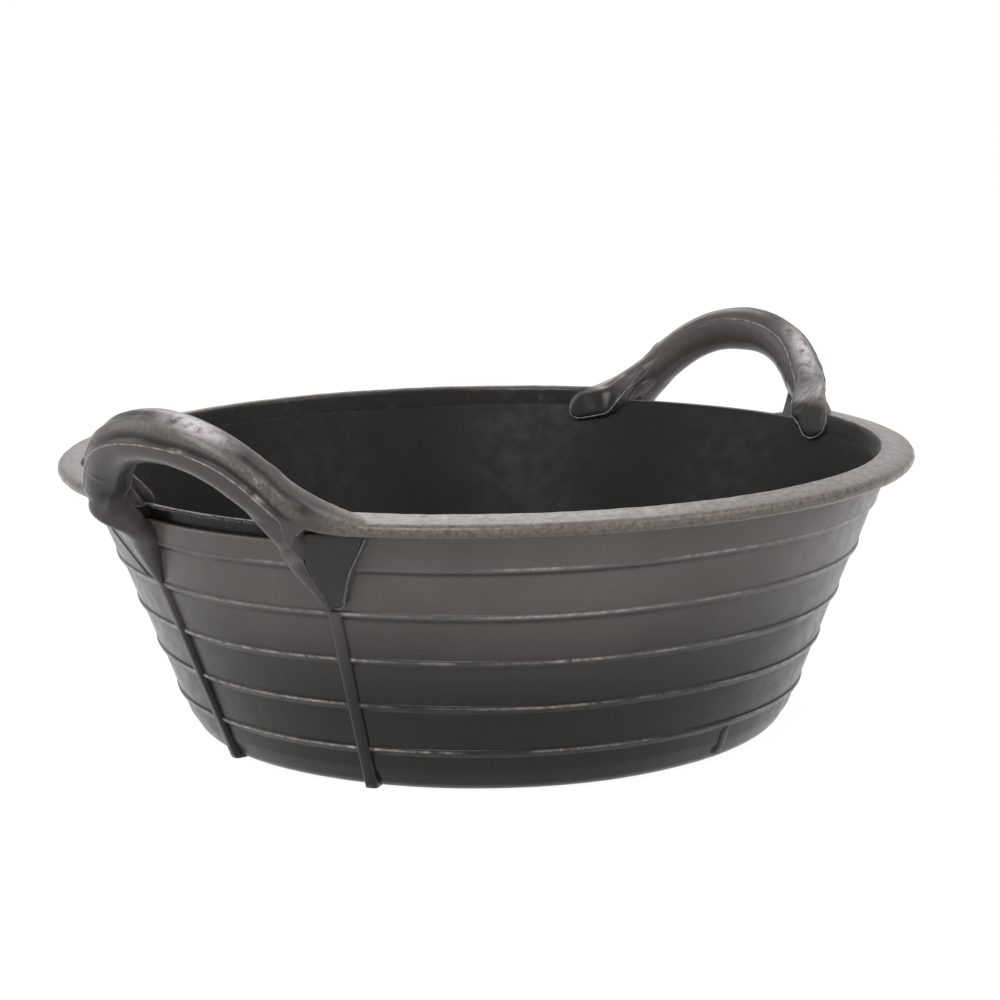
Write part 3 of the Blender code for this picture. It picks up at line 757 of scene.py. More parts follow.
def build_rim_half(side):
    """The lip, the handle and its two feet on one side, fused into one skin."""
    turn, creep = HANDLES[side]
    shapes = []
    strap = []
    for share in np.linspace(-STRAP_TAPER[1], STRAP_TAPER[1], 113):
        end = "rear" if share >= 0 else "front"
        strap.append(in_place(arch_rings([share], 48)[0], side, end))
    shapes.append(grid(strap))
    for end, sign in ENDS.items():
        steep = (side, end) == ("right", "front")
        tongue = tongue_rings(SECTION_POINTS, steep)
        leg, lump, saddle = leg_rings(LOFT_POINTS), lump_rings(LOFT_POINTS), saddle_rings(LOFT_POINTS)
        for rings in (leg, lump, tongue, saddle):
            shapes.append(grid(in_place(rings, side, end)))
        lip_start = STEEP_LIP_START if steep else LIP_START
        start = turn + creep + sign * math.cos(turn) * lip_start
        stop = math.pi / 2 * sign
        if side == "left" and sign < 0:
            stop = 3 * math.pi / 2
        over = math.copysign(0.03, stop - start)
        shapes.append(grid(turned_rings(lip_profile(), start, stop + over, 150)))
    made = mesh_object(f"rim_and_handle_{side}", shapes)
    remesh = made.modifiers.new("fuse", "REMESH")
    remesh.mode = "VOXEL"
    remesh.voxel_size = VOXEL
    bpy.context.view_layer.update()
    evaluated = made.evaluated_get(bpy.context.evaluated_depsgraph_get())
    mesh = bpy.data.meshes.new_from_object(evaluated)
    made.modifiers.clear()
    made.data = mesh
    return made


def cut_at_middle(made, side):
    """Cuts the skin where the two halves meet, and closes it there."""
    away = -1 if side == "right" else 1
    with edited(made.data) as shape:
        geometry = shape.verts[:] + shape.edges[:] + shape.faces[:]
        cut = bmesh.ops.bisect_plane(
            shape, geom=geometry, plane_co=(0, 0, 0), plane_no=(away, 0, 0), clear_outer=True
        )
        edges = [e for e in cut["geom_cut"] if isinstance(e, bmesh.types.BMEdge)]
        filled = bmesh.ops.holes_fill(shape, edges=edges)
        for edge in edges:
            edge.smooth = False
        bmesh.ops.triangulate(shape, faces=filled["faces"])


def strap_coordinates(points):
    """For points in the right rear frame: place along the arch, angle round it and fullness."""
    shares = np.linspace(0.0, 1.0, 241)
    middle, outward, away, half = arch_frame(shares)
    nearest = np.empty(len(points), dtype=np.int64)
    for first in range(0, len(points), 20000):
        part = points[first : first + 20000]
        gaps = ((part[:, None, :] - middle[None]) ** 2).sum(-1)
        nearest[first : first + 20000] = gaps.argmin(1)
    offset = points - middle[nearest]
    across = (offset * outward[nearest]).sum(-1) / half[nearest, 0]
    up = (offset * away[nearest]).sum(-1) / half[nearest, 1]
    angle = np.degrees(np.arctan2(up, across))
    angle = np.where(angle < -110, angle + 360, angle)
    power = squareness(shares[nearest])
    fullness = (np.abs(across) ** power + np.abs(up) ** power) ** (1 / power)
    return shares[nearest], angle, fullness


def soften_joins(made, side):
    """Relaxes the fused skin, most of all in the hollows where the handle's pieces meet."""
    mesh = made.data
    pairs, count = neighbours(mesh)
    points = relaxed(coordinates(mesh), pairs, count, 5)
    set_coordinates(mesh, points)
    outwards = normals(mesh)
    softer = relaxed(points, pairs, count, 45)
    hollow = ((relaxed(points, pairs, count, 8) - points) * outwards).sum(-1)
    hollow = smooth(0.00010, 0.00035, hollow)
    hollow = np.clip(relaxed(hollow, pairs, count, 14) * 1.9, 0, 1)
    local = back_in_place(points, side)
    hollow *= smooth(math.radians(30), math.radians(25), np.arctan2(local[:, 1], local[:, 0]))
    points = points + (softer - points) * hollow[:, None]
    set_coordinates(mesh, points)
    uneven = 0.00016 * waves(points, (0.041, 0.023, 0.015), 11)
    set_coordinates(mesh, points + normals(mesh) * uneven[:, None])


def groove_strap(mesh, side):
    """Presses the grooves and the ridge into the strap, and says where each point of it lies."""
    points = coordinates(mesh)
    local = back_in_place(points, side)
    share, angle, fullness = strap_coordinates(local)
    outer, inner = strap_face(share)
    face = (angle - (outer + inner) / 2) / ((inner - outer) / 2) + 0.025 * waves(points, (0.07, 0.05), 5)
    on_strap = smooth(1.45, 1.25, fullness) * smooth(1.0, 0.88, share)
    on_strap *= smooth(WALL_TOP + 0.004, WALL_TOP + 0.014, local[:, 2])
    low = smooth(0.20, 0.75, share)
    outer_groove, inner_groove = hump(*OUTER_GROOVE, face), hump(*INNER_GROOVE, face)
    from_ridge = np.abs(face - RIDGE_PLACE + RIDGE_DRIFT * low)
    ridge = smooth(1.0, 0.55, from_ridge / (RIDGE_HALF + RIDGE_SPREAD * low))
    shift = RIDGE_RISE * ridge - OUTER_GROOVE_DEPTH * outer_groove - INNER_GROOVE_DEPTH * inner_groove
    set_coordinates(mesh, points + normals(mesh) * (shift * on_strap)[:, None])
    return local, share, angle, face, on_strap, ridge, np.maximum(outer_groove, inner_groove)


def note_rim_wear_and_painted_light(mesh, side, local, share, angle, face, on_strap, ridge, groove):
    """Notes where the rim and the handle are rubbed and mottled, and where highlights and shade are
    painted on them.
    """
    pairs, count = neighbours(mesh)
    points, outwards = coordinates(mesh), normals(mesh)
    bulge = ((points - relaxed(points, pairs, count, 6)) * outwards).sum(-1)
    bulge = relaxed(bulge, pairs, count, 2)
    height = points[:, 2]
    round_tub = np.arctan2(local[:, 1], local[:, 0])
    on_lip = smooth(math.radians(17), math.radians(21), round_tub)
    on_lip *= smooth(WALL_TOP - 0.0045, WALL_TOP - 0.0030, height)
    lip_width = wall_radius(WALL_TOP) + LIP_OVERHANG - inner_radius(WALL_TOP)
    across_lip = (np.hypot(points[:, 0], points[:, 1]) - inner_radius(WALL_TOP)) / lip_width
    on_face = on_strap * (np.abs(face) < 1.02)
    front = smooth(0.003, -0.003, points[:, 1])
    # Rubbed line along the strap's outer edge with a painted highlight, on the front limbs only
    rubbed = np.maximum(*(hump(middle, half, share) for middle, half in RUB_SHINE_ALONG))
    # Painted highlight on the front limb's face, weaker on the rear limb of the right handle
    across, face_width, along, length, rear_share = PALE_HIGHLIGHT[side]
    pale = hump(across, face_width, face) * hump(along, length, share)
    pale *= front + (1 - front) * rear_share
    shaded = hump(*SHADE_ACROSS, face) * smooth(0.70, 0.30, share)
    outset = (outwards[:, :2] * unit(points[:, :2])).sum(-1)
    # Painted shade, noted as dark: on faces turned towards the tub's mouth near the top, and on the left
    # handle's rear limb's hidden side
    inward = smooth(0.60, 0.90, -outset) * smooth(WALL_TOP + 0.0150, WALL_TOP + 0.0100, height)
    below = np.where(angle > 200, angle - 360, angle)
    if side == "left":
        hidden = on_strap * hump(*HIDDEN_SIDE_SHADE, below) * smooth(0.15, 0.40, share) * (1 - front)
        inward = np.maximum(inward, hidden)
    # Painted highlight on the lip's top-facing faces, in a band across it
    on_lip_top = on_lip * smooth(0.30, 0.60, outwards[:, 2])
    note(
        mesh,
        edge=smooth(0.00007, 0.00028, bulge),
        # Painted shade in the skin's concave hollows
        crease=smooth(0.00005, 0.00022, -bulge),
        height=smooth(0.0, WALL_TOP, height),
        ridge=on_strap * ridge,
        # Darker grooves, and painted shade on the stretch near the crown
        groove=on_strap * np.maximum(groove, 0.8 * shaded),
        rub=on_face * hump(*RUB_SHINE_ACROSS, face) * rubbed * front,
        pale=on_face * pale,
        under=on_strap * hump(*UNDERSIDE, below),
        dark=inward,
        lip_face=on_lip_top * hump(*LIP_HIGHLIGHT_BAND, across_lip),
        lip_edge=on_lip * smooth(0.45, 0.80, across_lip),
    )


def edge_lines(made, side):
    """The raised lines along both edges of the strap, from foot to foot over the crown."""
    inner = (inner_edge_line(side == "right"), inner_edge_line(False))
    laid_lines = []
    for name, lines in (("inner", inner), ("outer", (outer_edge_line(), outer_edge_line()))):
        path, ways = [], []
        for (points, outwards), end, order in zip(lines, ENDS, (-1, 1)):
            placed = in_place(points, side, end)
            turned = in_place(points + outwards * MM, side, end) - placed
            path += list(placed[::order])
            ways += list(unit(turned)[::order])
        middle = len(lines[0][0])
        del path[middle], ways[middle]
        laid = laid_on(made, np.array(path), np.array(ways), EDGE_LINE * 0.35)
        on_foot = smooth(WALL_TOP + 0.0160, WALL_TOP + 0.0060, laid[:, 2])
        if name == "outer":
            shine = 0.9 - 0.7 * on_foot
        else:
            shine = np.where(laid[:, 1] < 0, 0.9, 0.25 + 0.5 * on_foot)
        laid_lines.append(line_object(f"{name}_line_{side}", laid, EDGE_LINE, shine))
    return laid_lines


def gussets(side):
    """The web beside each leg, with painted shade that makes its face darker than the wall, a little
    painted light on its side face, and a raised border.
    """
    made = []
    for end in ENDS:
        patch = mesh_object(f"gusset_{side}_{end}", [grid(in_place(gusset_rings(), side, end))])
        on_side = np.tile(np.arange(16) > 11, len(gusset_outline()))
        # Painted shade on the web's face and a little painted light on its side face
        note(patch.data, dark=0.8 - 0.8 * on_side, line=0.15 * on_side, height=0.6)
        border = spline_through(in_place(gusset_edge_line(), side, end), 3)
        made += [patch, line_object(f"gusset_line_{side}_{end}", border, GUSSET_LINE, 0.25)]
    return made


def finish_rim_half(made, side):
    """Softens and grooves the skin, notes where it is worn and where light and shade are painted, and adds
    its raised lines and gussets.
    """
    soften_joins(made, side)
    note_rim_wear_and_painted_light(made.data, side, *groove_strap(made.data, side))
    cut_at_middle(made, side)
    return joined(made, edge_lines(made, side) + gussets(side))


def bead_heights():
    return FIRST_BEAD + BEAD_PITCH * np.arange(BEAD_COUNT)


def band_radius(heights):
    """Radius of the wall's outer face: five lapped bands, each with a bead at its foot."""
    heights = np.asarray(heights, float)
    beads = bead_heights()
    above = np.clip(np.searchsorted(beads - 0.0034, heights), 0, BEAD_COUNT)
    top = np.concatenate([beads, [WALL_TOP + 0.0034]])[above]
    result = wall_radius(top) - BAND_STEP - 0.373 * (top - 0.0034 - heights)
    highest = wall_radius(heights) - BEAD_LIFT + 0.0010 * (heights / WALL_TOP)
    result = np.where(above == BEAD_COUNT, highest, result)
    for bead in beads:
        near = heights - bead
        on_bead = np.abs(near) < BEAD_HALF_HEIGHT
        roundness = np.sqrt(np.clip(1 - (near / BEAD_HALF_HEIGHT) ** 2, 0, 1))
        front = wall_radius(bead) + 0.37 * near - BEAD_LIFT * (1 - roundness)
        result = np.where(on_bead, np.maximum(result, front), result)
        in_step = (near < -0.0019) & (near > -0.0038)
        low = wall_radius(bead) - BAND_STEP - 0.0001
        step = low + (wall_radius(bead) - 0.0018 - low) * smooth(-0.0038, -0.0019, near)
        result = np.where(in_step, step, result)
    return result


def wall_heights():
    """Heights of the outer face's points, close together at the hollow's foot and the beads."""
    falls = [[0.0, 0.0004, 0.0010], np.linspace(0.002, 0.0078, 6), np.arange(0.0081, 0.0101, 0.0003)]
    heights = list(WALL_TOP - np.concatenate(falls))
    for bead in bead_heights()[::-1]:
        heights += list(np.linspace(heights[-1] - 0.0010, bead + 0.0030, 9))
        heights += list(np.linspace(bead + 0.0024, bead - 0.0042, 24))
    return np.array(heights + list(np.linspace(heights[-1] - 0.0010, 0.0130, 5)))


def wall_outline():
    """The wall's closed profile, as radii and heights, and how many points are on its outside."""
    heights = wall_heights()
    outer = list(zip(band_radius(heights), heights))
    outer += arc(CORNER_RADIUS, BASE_ROUNDING, BASE_ROUNDING, -WALL_LEAN, -math.pi / 2, 9)
    inner = [(FOOT_RADIUS, 0.0), (FOOT_RADIUS, WALL_THICKNESS)]
    small = BASE_ROUNDING - WALL_THICKNESS
    inner += arc(CORNER_RADIUS, BASE_ROUNDING, small, -math.pi / 2, -WALL_LEAN, 7)
    for height in np.linspace(BASE_ROUNDING + 0.003, WALL_TOP - 0.0006, 26):
        inner.append((inner_radius(height), height))
    inner.append((inner_radius(WALL_TOP) + 0.0006, WALL_TOP))
    return np.array(outer + inner), len(outer)


def from_nearest(places, angles):
    """How far round the tub the angles are from the nearest of the places."""
    apart = [np.abs((angles - place + math.pi) % (2 * math.pi) - math.pi) for place in places]
    return np.min(apart, axis=0)


def build_wall():
    """The tub's wall as one closed turned skin."""
    profile, outer_count = wall_outline()
    outside = np.arange(len(profile)) < outer_count
    fall = (WALL_TOP - profile[:, 1]) / HOLLOW_HEIGHT
    hollow = (HOLLOW_DEPTH + 0.0009 * np.sin(np.clip(fall, 0, 1) * math.pi)) * smooth(1.0, 0.94, fall)
    hollow -= 0.0005 * hump(1.05, 0.11, fall)
    handles = [turn + creep for turn, creep in HANDLES.values()]
    strips = [turn + sign * STRIP_ANGLE for turn, _ in HANDLES.values() for sign in (-1, 1)]
    rings, bareness = [], []
    for step in range(TURN_STEPS):
        angle = 2 * math.pi * step / TURN_STEPS
        from_handle = from_nearest(handles, angle)
        bare = smooth(BARE_HALF_ANGLE + 0.012, BARE_HALF_ANGLE - 0.008, from_handle)
        height = profile[:, 1]
        wobble = 0.0004 * math.sin(3 * angle + 0.7) + 0.0003 * math.sin(7 * angle + 2.1)
        sway = smooth(0.02, 0.06, height) * smooth(WALL_TOP, WALL_TOP - 0.03, height)
        ripple = 0.00022 * np.sin(5 * angle + height * 60) + 0.00012 * np.sin(11 * angle - height * 90)
        radius = profile[:, 0] - bare * hollow * outside + ripple
        places = [radius * math.cos(angle), radius * math.sin(angle), height + wobble * sway]
        rings.append(np.stack(places, -1))
        bareness.append(bare * outside)
    made = mesh_object("tub_wall", [grid(rings, loop=True)])
    points = coordinates(made.data)
    height = np.tile(profile[:, 1], TURN_STEPS)
    beads = bead_heights()
    gap = height - beads[np.abs(height[:, None] - beads[None]).argmin(1)]
    apart = from_nearest(strips, np.arctan2(points[:, 1], points[:, 0])) * BEAD_RADIUS
    clear = smooth(0.0042, 0.0060, apart)
    bare = np.concatenate(bareness)
    outer = np.tile(outside, TURN_STEPS)
    fall = (WALL_TOP - height) / HOLLOW_HEIGHT
    note(
        made.data,
        # Light crest along each bead, lighter near the strips: worn rubber with a painted highlight
        edge=outer * hump(0.0003, 0.0013, gap) * clear * (0.75 + 0.6 * hump(0.0085, 0.0050, apart)),
        # Painted shadow under each bead's step, and painted shade on the hollow below the bare top edge
        crease=outer * np.maximum(hump(-0.0027, 0.0021, gap), bare * (fall < 0.96)),
        height=smooth(0.0, WALL_TOP, height),
        line=outer * bare * hump(1.04, 0.10, fall) * 0.6,
    )
    return made


def build_flash(side):
    """Torn flash along the bare top edge below a handle: a thin crumbly bead."""
    turn, creep = HANDLES[side]
    angles = turn + creep + np.linspace(-BARE_HALF_ANGLE, BARE_HALF_ANGLE, 300)
    radius = band_radius([WALL_TOP])[0] - HOLLOW_DEPTH - FLASH_RADIUS * 0.5
    middle = np.array([on_wall(radius, angle, WALL_TOP - FLASH_RADIUS * 0.3) for angle in angles])
    crumb = 0.75 + 0.45 * waves(middle, (0.0061, 0.0034, 0.0021), 21 if side == "right" else 22)
    lift = (0.0 if side == "right" else 0.0004) * waves(middle, (0.0150, 0.0052), 23)
    rings = []
    for place, angle, size, rise in zip(middle, angles, crumb, lift):
        outward = on_wall(1, angle, 0)
        half = FLASH_RADIUS * (0.4 if side == "right" else float(np.clip(size, 0.35, 1.4)))
        rings.append(rounded(place + [0, 0, rise], outward, np.array([0, 0, 1]), (half, half), 8, 2.0))
    made = mesh_object(f"flash_{side}", [grid(rings)])
    note(made.data, line=np.repeat(0.55 * smooth(0.75, 1.25, crumb), 8), height=0.8)
    return made


def strip_rings(angle, half_width, lift, top, foot):
    """A raised strip down the wall, with rounded sides and its back inside the wall."""
    rings = []
    across = np.linspace(-1.0, 1.0, 11)
    heights = np.concatenate([[top, top - 0.0012], np.linspace(top - 0.004, foot + 0.003, 24), [foot]])
    for height in heights:
        radius = wall_radius(height)
        tuck = max(0.0, BASE_ROUNDING - height) / 2
        crown = lift + 0.0004 * (1 - across**2) - 0.0016 * np.abs(across) ** 6
        crown = crown - 0.0010 * smooth(top - 0.003, top, height)
        span = half_width / radius
        ring = [on_wall(radius + c, angle + span * a, height) for a, c in zip(across, crown)]
        back = radius - STRIP_SINK - tuck
        ring += [on_wall(back, angle + span * a, height) for a in (1.0, 0.0, -1.0)]
        rings.append(ring)
    return rings


def build_strips():
    """The four long strips below the legs and the two short ones on the lowest band."""
    shapes = []
    for turn, _ in HANDLES.values():
        for sign in ENDS.values():
            angle = turn + sign * STRIP_ANGLE
            rings = strip_rings(angle, STRIP_HALF_WIDTH, STRIP_LIFT, LEG_TIP[0], STRIP_FOOT)
            shapes.append(grid(rings))
    top = FIRST_BEAD - BASE_STRIP_BELOW_BEAD
    for turn in (0.0, math.pi):
        angle = turn + BASE_STRIP_ANGLE
        rings = strip_rings(angle, BASE_STRIP_HALF_WIDTH, BASE_STRIP_LIFT, top, BASE_STRIP_FOOT)
        shapes.append(grid(rings))
    made = mesh_object("wall_strips", shapes)
    height = coordinates(made.data)[:, 2]
    note(made.data, height=smooth(0.0, WALL_TOP, height), dark=0.35)
    return made


def build_floor_ply():
    """The floor ply, lapped over the wall's turned-in foot, with a rounded edge."""
    hole = 0.004
    lap = FOOT_RADIUS + FLOOR_LAP
    inside = FOOT_RADIUS - 0.0004
    seat = WALL_THICKNESS + 0.0002
    rounding = FLOOR_CHAMFER
    profile = [(radius, FLOOR_TOP) for radius in np.linspace(hole, lap - rounding, 40)]
    profile += arc(lap - rounding, FLOOR_TOP - rounding, rounding, math.pi / 2, 0.0, 6)[1:]
    profile += [(lap, seat), (inside, seat), (inside, 0.0), (hole, 0.0)]
    rings = []
    for step in range(TURN_STEPS // 2):
        angle = 4 * math.pi * step / TURN_STEPS
        rings.append([on_wall(radius, angle, height) for radius, height in profile])
    disc = mesh_object("floor_ply", [grid(rings, loop=True)])
    points = coordinates(disc.data)
    upper = smooth(FLOOR_TOP - 0.0005, FLOOR_TOP, points[:, 2])
    points[:, 2] -= upper * 0.00035 * (1 + waves(points, (0.09, 0.05), 31))
    set_coordinates(disc.data, points)
    with edited(disc.data) as shape:
        near = {vert for vert in shape.verts if math.hypot(vert.co.x, vert.co.y) < hole + 0.0005}
        inner = [face for face in shape.faces if near.issuperset(face.verts)]
        bmesh.ops.delete(shape, geom=inner, context="FACES_ONLY")
        rims = [edge for edge in shape.edges if edge.is_boundary]
        bmesh.ops.holes_fill(shape, edges=rims)
        bmesh.ops.recalc_face_normals(shape, faces=shape.faces)
    note(disc.data, height=0.3)
    return disc


def linear(code):
    """An sRGB hex colour as linear RGBA."""
    values = [int(code[i : i + 2], 16) / 255 for i in (1, 3, 5)]
    values = [v / 12.92 if v <= 0.04045 else ((v + 0.055) / 1.055) ** 2.4 for v in values]
    return (*values, 1.0)


def add(tree, kind, sockets=None, output=0, **settings):
    """Adds a shader node with its settings. A socket takes a value or another node's output."""
    made = tree.nodes.new(f"ShaderNode{kind}")
    for name, value in settings.items():
        setattr(made, name, value)
    for name, value in (sockets or {}).items():
        if isinstance(value, bpy.types.NodeSocket):
            tree.links.new(value, made.inputs[name])
        else:
            made.inputs[name].default_value = value
    return made.outputs[output]


# Wear and painted light and shade on the rubber: the note that each mark follows, how much, its colour,
# the size of its specks and the range of the specks' noise that shows, then the size of its patches, 0 for
# none, in mm
OUTSIDE_WEAR_AND_PAINTED_LIGHT = (
    ("dark", 0.55, "#232120", 9.0, 0.0, 0.4, 0),
    # Painted shade in hollows and under the beads' steps
    ("crease", 1.0, "#0d0c0c", 9.0, 0.0, 0.4, 0),
    # Worn bead crests with a painted highlight
    ("edge", 0.95, "#c4bbb4", 5.0, 0.30, 0.62, 85),
    ("line", 0.70, "#8f8781", 1.9, 0.30, 0.66, 0),
)
# Painted shade in the inside's hollows
INSIDE_PAINTED_SHADE = (("crease", 0.5, "#121111", 9.0, 0.0, 0.4, 0),)
HANDLE_WEAR_AND_PAINTED_LIGHT = (
    # Darker grooves, and painted shade on the strap's shaded stretch
    ("groove", 0.90, "#181717", 6.0, 0.0, 0.45, 0),
    # Painted highlight on the front limbs
    ("pale", 1.0, "#c9c0c1", 7.0, 0.26, 0.54, 0),
    ("ridge", 0.70, "#6f685f", 1.7, 0.34, 0.66, 0),
    # Rubbed line with a painted highlight
    ("rub", 0.90, "#c2b3ad", 3.0, 0.34, 0.58, 26),
    ("under", 0.60, "#4d4a44", 1.6, 0.46, 0.62, 0),
    ("lip_edge", 0.72, "#82776f", 2.6, 0.28, 0.66, 0),
    # Painted highlight across the lip's top
    ("lip_face", 0.90, "#968e8a", 4.0, 0.22, 0.66, 0),
    # Painted shade on inward and hidden faces and on the gussets' faces
    ("dark", 0.95, "#141313", 9.0, 0.0, 0.4, 0),
    # Painted shade in the skin's hollows
    ("crease", 0.75, "#161515", 9.0, 0.0, 0.4, 0),
    ("edge", 0.80, "#b5aba4", 2.0, 0.42, 0.64, 30),
    ("line", 0.80, "#a49c97", 4.0, 0.30, 0.62, 0),
)


def new_material(name):
    made = bpy.data.materials.new(name)
    made.use_nodes = True
    return made, made.node_tree


def rubber(name, body, film_colour, film_strength, patch, roughness, specular, sheen, scratches, marks):
    """Vulcanised rubber, pressed in a mould: black and matt, lighter in patches that grow towards the rim,
    with faint scratches, a chalky grey where its edges are rubbed, and painted shade and highlights."""
    made, tree = new_material(name)
    shader = tree.nodes["Principled BSDF"]
    shader.inputs["IOR"].default_value = 1.52
    shader.inputs["Specular IOR Level"].default_value = specular
    shader.inputs["Sheen Weight"].default_value = sheen
    shader.inputs["Sheen Roughness"].default_value = 0.35
    place = add(tree, "Attribute", output="Vector", attribute_name="rest_place")
    height = add(tree, "Attribute", output="Fac", attribute_name="height")

    patches = add(tree, "TexNoise", {"Vector": place, "Scale": 1 / patch, "Detail": 5.0, "Roughness": 0.6})
    patches = add(tree, "MapRange", {0: patches, 1: 0.34, 2: 0.66, 3: film_strength * 0.66, 4: film_strength})
    rise = {0: height, 1: 0.18, 2: 1.12, 3: 0.0, 4: 1.0}
    rise = add(tree, "MapRange", rise, interpolation_type="SMOOTHSTEP")
    film = add(tree, "Math", {0: patches, 1: rise}, operation="MULTIPLY")
    colour = add(
        tree, "Mix", {0: film, 6: linear(body), 7: linear(film_colour)}, output=2, data_type="RGBA"
    )
    for notes, strength, code, speck, low, high, spread in marks:
        amount = add(tree, "Attribute", output="Fac", attribute_name=notes)
        specks = {"Vector": place, "Scale": 1 / (speck * MM), "Detail": 3.0, "Roughness": 0.65}
        specks = add(tree, "TexNoise", specks)
        specks = add(tree, "MapRange", {0: specks, 1: low, 2: high, 3: 0.0, 4: strength})
        amount = add(tree, "Math", {0: amount, 1: specks}, operation="MULTIPLY")
        if spread:
            wide = add(tree, "TexNoise", {"Vector": place, "Scale": 1 / (spread * MM), "Detail": 2.0})
            wide = add(tree, "MapRange", {0: wide, 1: 0.43, 2: 0.57, 3: 0.05, 4: 1.0})
            amount = add(tree, "Math", {0: amount, 1: wide}, operation="MULTIPLY")
        colour = add(tree, "Mix", {0: amount, 6: colour, 7: linear(code)}, output=2, data_type="RGBA")
    for stretch in ((1, 0.06, 0.35), (0.08, 1, 0.7)):
        along = add(tree, "VectorMath", {0: place, 1: stretch}, operation="MULTIPLY")
        thin = add(tree, "TexNoise", {"Vector": along, "Scale": 1 / (1.2 * MM), "Detail": 2.0})
        thin = add(tree, "MapRange", {0: thin, 1: 0.66, 2: 0.75, 3: 0.0, 4: scratches})
        colour = add(tree, "Mix", {0: thin, 6: colour, 7: linear("#6d6865")}, output=2, data_type="RGBA")
    tree.links.new(colour, shader.inputs["Base Color"])

    grain = {"Vector": place, "Scale": 1 / (0.9 * MM), "Detail": 4.0, "Roughness": 0.6}
    grain = add(tree, "TexNoise", grain)
    swell = add(tree, "TexNoise", {"Vector": place, "Scale": 1 / (16 * MM), "Detail": 2.0})
    relief = add(tree, "Math", {0: grain, 1: 0.14}, operation="MULTIPLY")
    relief = add(tree, "Math", {0: swell, 1: 1.2, 2: relief}, operation="MULTIPLY_ADD")
    bump = add(tree, "Bump", {"Height": relief, "Distance": 0.5 * MM, "Strength": 0.30})
    tree.links.new(bump, shader.inputs["Normal"])
    gloss = add(tree, "TexNoise", {"Vector": place, "Scale": 1 / (11 * MM), "Detail": 5.0})
    gloss = add(tree, "MapRange", {0: gloss, 1: 0.3, 2: 0.7, 3: roughness + 0.09, 4: roughness - 0.07})
    tree.links.new(gloss, shader.inputs["Roughness"])
    return made


def twisted_nylon():
    """Nylon cord: off-white and matt, with wide slanted bands. The rubber hides it."""
    made, tree = new_material("twisted_nylon")
    shader = tree.nodes["Principled BSDF"]
    place = add(tree, "TexCoord", output="Object")
    strands = add(
        tree, "TexWave", {"Vector": place, "Scale": 1 / (2.4 * MM) / 20, "Distortion": 0.4},
        bands_direction="DIAGONAL",
    )
    colour = add(
        tree, "Mix", {0: strands, 6: linear("#a59e8c"), 7: linear("#d3cdbd")}, output=2, data_type="RGBA"
    )
    tree.links.new(colour, shader.inputs["Base Color"])
    bump = add(tree, "Bump", {"Height": strands, "Distance": 0.4 * MM, "Strength": 0.6})
    tree.links.new(bump, shader.inputs["Normal"])
    shader.inputs["Roughness"].default_value = 0.85
    return made


def set_camera():
    forward = Vector(CAMERA_FORWARD).normalized()
    right = Vector(CAMERA_RIGHT)
    right = (right - forward * right.dot(forward)).normalized()
    up = right.cross(forward)
    camera = bpy.data.cameras.new("camera")
    camera.lens = CAMERA_LENS
    camera.sensor_width = 36.0
    camera.clip_end = 50.0
    holder = in_scene("camera", camera)
    axes = Matrix((right, up, -forward)).transposed().to_4x4()
    holder.matrix_world = Matrix.Translation(CAMERA_PLACE) @ axes
    bpy.context.scene.camera = holder


def set_lights():
    """A white studio to the camera, dimmer where it lights or is mirrored, and four soft lamps."""
    scene = bpy.context.scene
    scene.view_settings.view_transform = "Standard"
    world = bpy.data.worlds.new("studio")
    scene.world = world
    world.use_nodes = True
    tree = world.node_tree
    background = tree.nodes["Background"]
    camera = add(tree, "LightPath", output="Is Camera Ray")
    strength = add(tree, "MapRange", {0: camera, 1: 0.0, 2: 1.0, 3: 0.62, 4: 1.0})
    background.inputs["Color"].default_value = (1, 1, 1, 1)
    tree.links.new(strength, background.inputs["Strength"])
    lamps = (
        ("key", (-1.6, -0.6, 1.9), 1.3, 26.0),
        ("fill", (0.5, -1.9, 1.8), 1.6, 14.0),
        ("back", (1.4, 1.5, 1.6), 1.6, 10.0),
        ("side", (-1.3, 1.8, 1.2), 1.6, 11.0),
    )
    for name, place, size, power in lamps:
        lamp = bpy.data.lights.new(name, "AREA")
        lamp.shape = "DISK"
        lamp.size = size
        lamp.energy = power
        holder = in_scene(name, lamp)
        aim = Vector((0, 0, 0.1)) - Vector(place)
        facing = aim.to_track_quat("-Z", "Y").to_matrix().to_4x4()
        holder.matrix_world = Matrix.Translation(place) @ facing


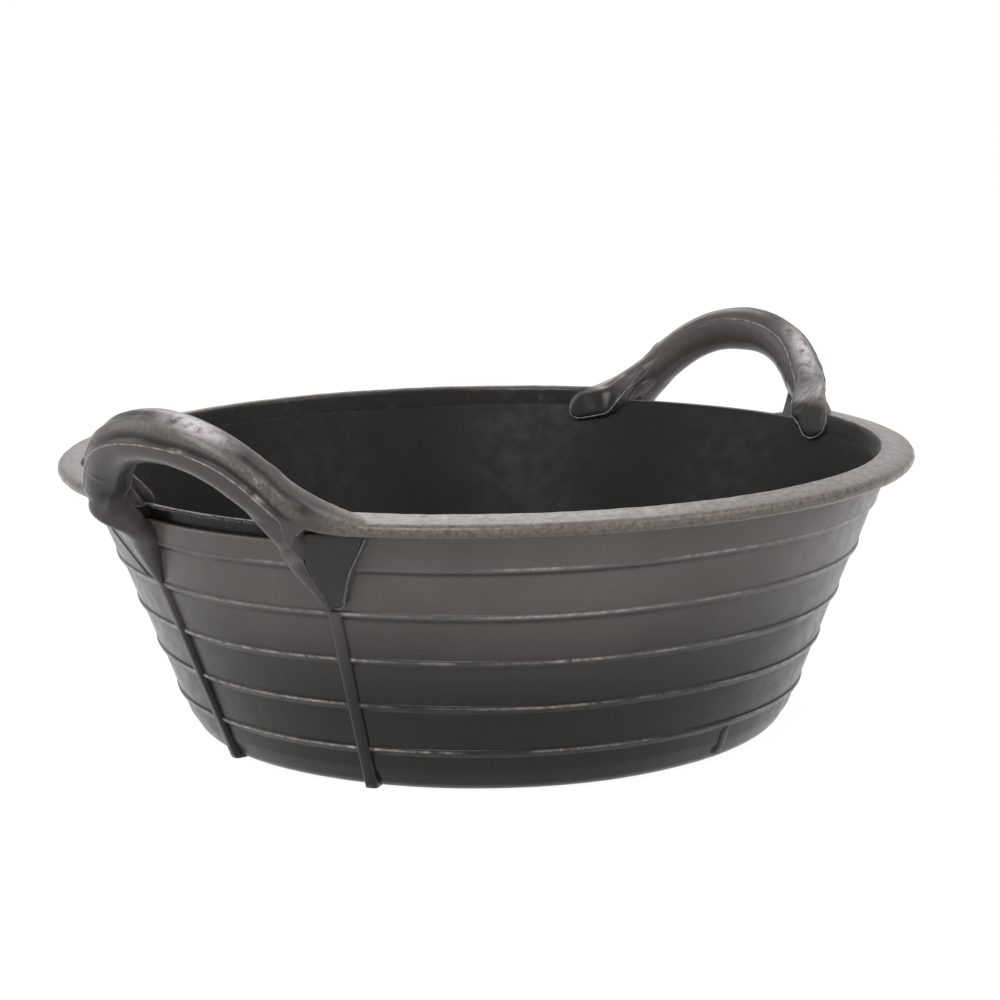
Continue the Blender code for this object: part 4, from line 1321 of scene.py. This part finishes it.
def make_floor():
    """A plain pale floor, near white to the camera and in reflections, with a faint shadow."""
    reach = 6.0
    corners = [(-reach, -reach, 0), (reach, -reach, 0), (reach, reach, 0), (-reach, reach, 0)]
    floor = mesh_object("floor", [(np.array(corners) - [0, 0, 0.0002], [(0, 1, 2, 3)])])
    made, tree = new_material("pale_floor")
    tree.nodes.remove(tree.nodes["Principled BSDF"])
    matt = add(tree, "BsdfDiffuse", {"Color": linear("#c8c8c8")})
    glow = add(tree, "Emission", {"Color": (1, 1, 1, 1), "Strength": 1.18})
    camera = add(tree, "LightPath", output="Is Camera Ray")
    seen = add(tree, "Math", {0: camera, 1: camera.node.outputs["Is Glossy Ray"]}, operation="ADD")
    seen = add(tree, "Math", {0: seen, 1: 0.80}, operation="MULTIPLY")
    mixed = add(tree, "MixShader", {0: seen, 1: matt, 2: glow})
    tree.links.new(mixed, tree.nodes["Material Output"].inputs["Surface"])
    floor.data.materials.append(made)


def main():
    set_camera()
    set_lights()
    make_floor()
    outside = rubber(
        "moulded_rubber_outside", "#141312", "#6c6662", 1.0, 110 * MM, 0.29, 0.27, 0.18, 0.05, OUTSIDE_WEAR_AND_PAINTED_LIGHT
    )
    inside = rubber(
        "moulded_rubber_inside", "#100f0f", "#1e1d1c", 0.7, 60 * MM, 0.46, 0.17, 0.0, 0.05, INSIDE_PAINTED_SHADE
    )
    rubbed = rubber(
        "rubbed_rubber", "#151413", "#5a5552", 0.8, 60 * MM, 0.28, 0.30, 0.16, 0.05, HANDLE_WEAR_AND_PAINTED_LIGHT
    )
    cord = twisted_nylon()

    wall = joined(build_wall(), [build_flash(side) for side in HANDLES])
    wall.data.materials.append(outside)
    wall.data.materials.append(inside)
    for face in wall.data.polygons:
        middle = face.center
        if math.hypot(middle.x, middle.y) < wall_radius(middle.z) - 0.0065 and middle.z > 0.002:
            face.material_index = 1
    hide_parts("wall_shell")
    strips = build_strips()
    strips.data.materials.append(outside)
    long_strips = [f"wall_strip_{side}_{end}" for side in HANDLES for end in ENDS]
    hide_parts(*long_strips, "base_strip_front", "base_strip_rear")
    floor_ply = build_floor_ply()
    floor_ply.data.materials.append(inside)
    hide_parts("floor_disc")
    for piece in (wall, strips, floor_ply):
        piece.data.shade_smooth()
        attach(piece, "tub")

    for side, (turn, creep) in HANDLES.items():
        half = finish_rim_half(build_rim_half(side), side)
        half.data.materials.append(rubbed)
        half.data.shade_smooth()
        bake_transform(half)
        nodes = [f"handle_{side}_strap"]
        for kind in ("leg", "tongue", "gusset", "cord_tail"):
            nodes += [f"handle_{side}_{kind}_{end}" for end in ENDS]
        nodes.append("rim_lip_front" if side == "right" else "rim_lip_rear")
        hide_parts(*nodes)
    for name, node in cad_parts.items():
        if "cord" in name:
            node.data.materials.clear()
            node.data.materials.append(cord)


main()
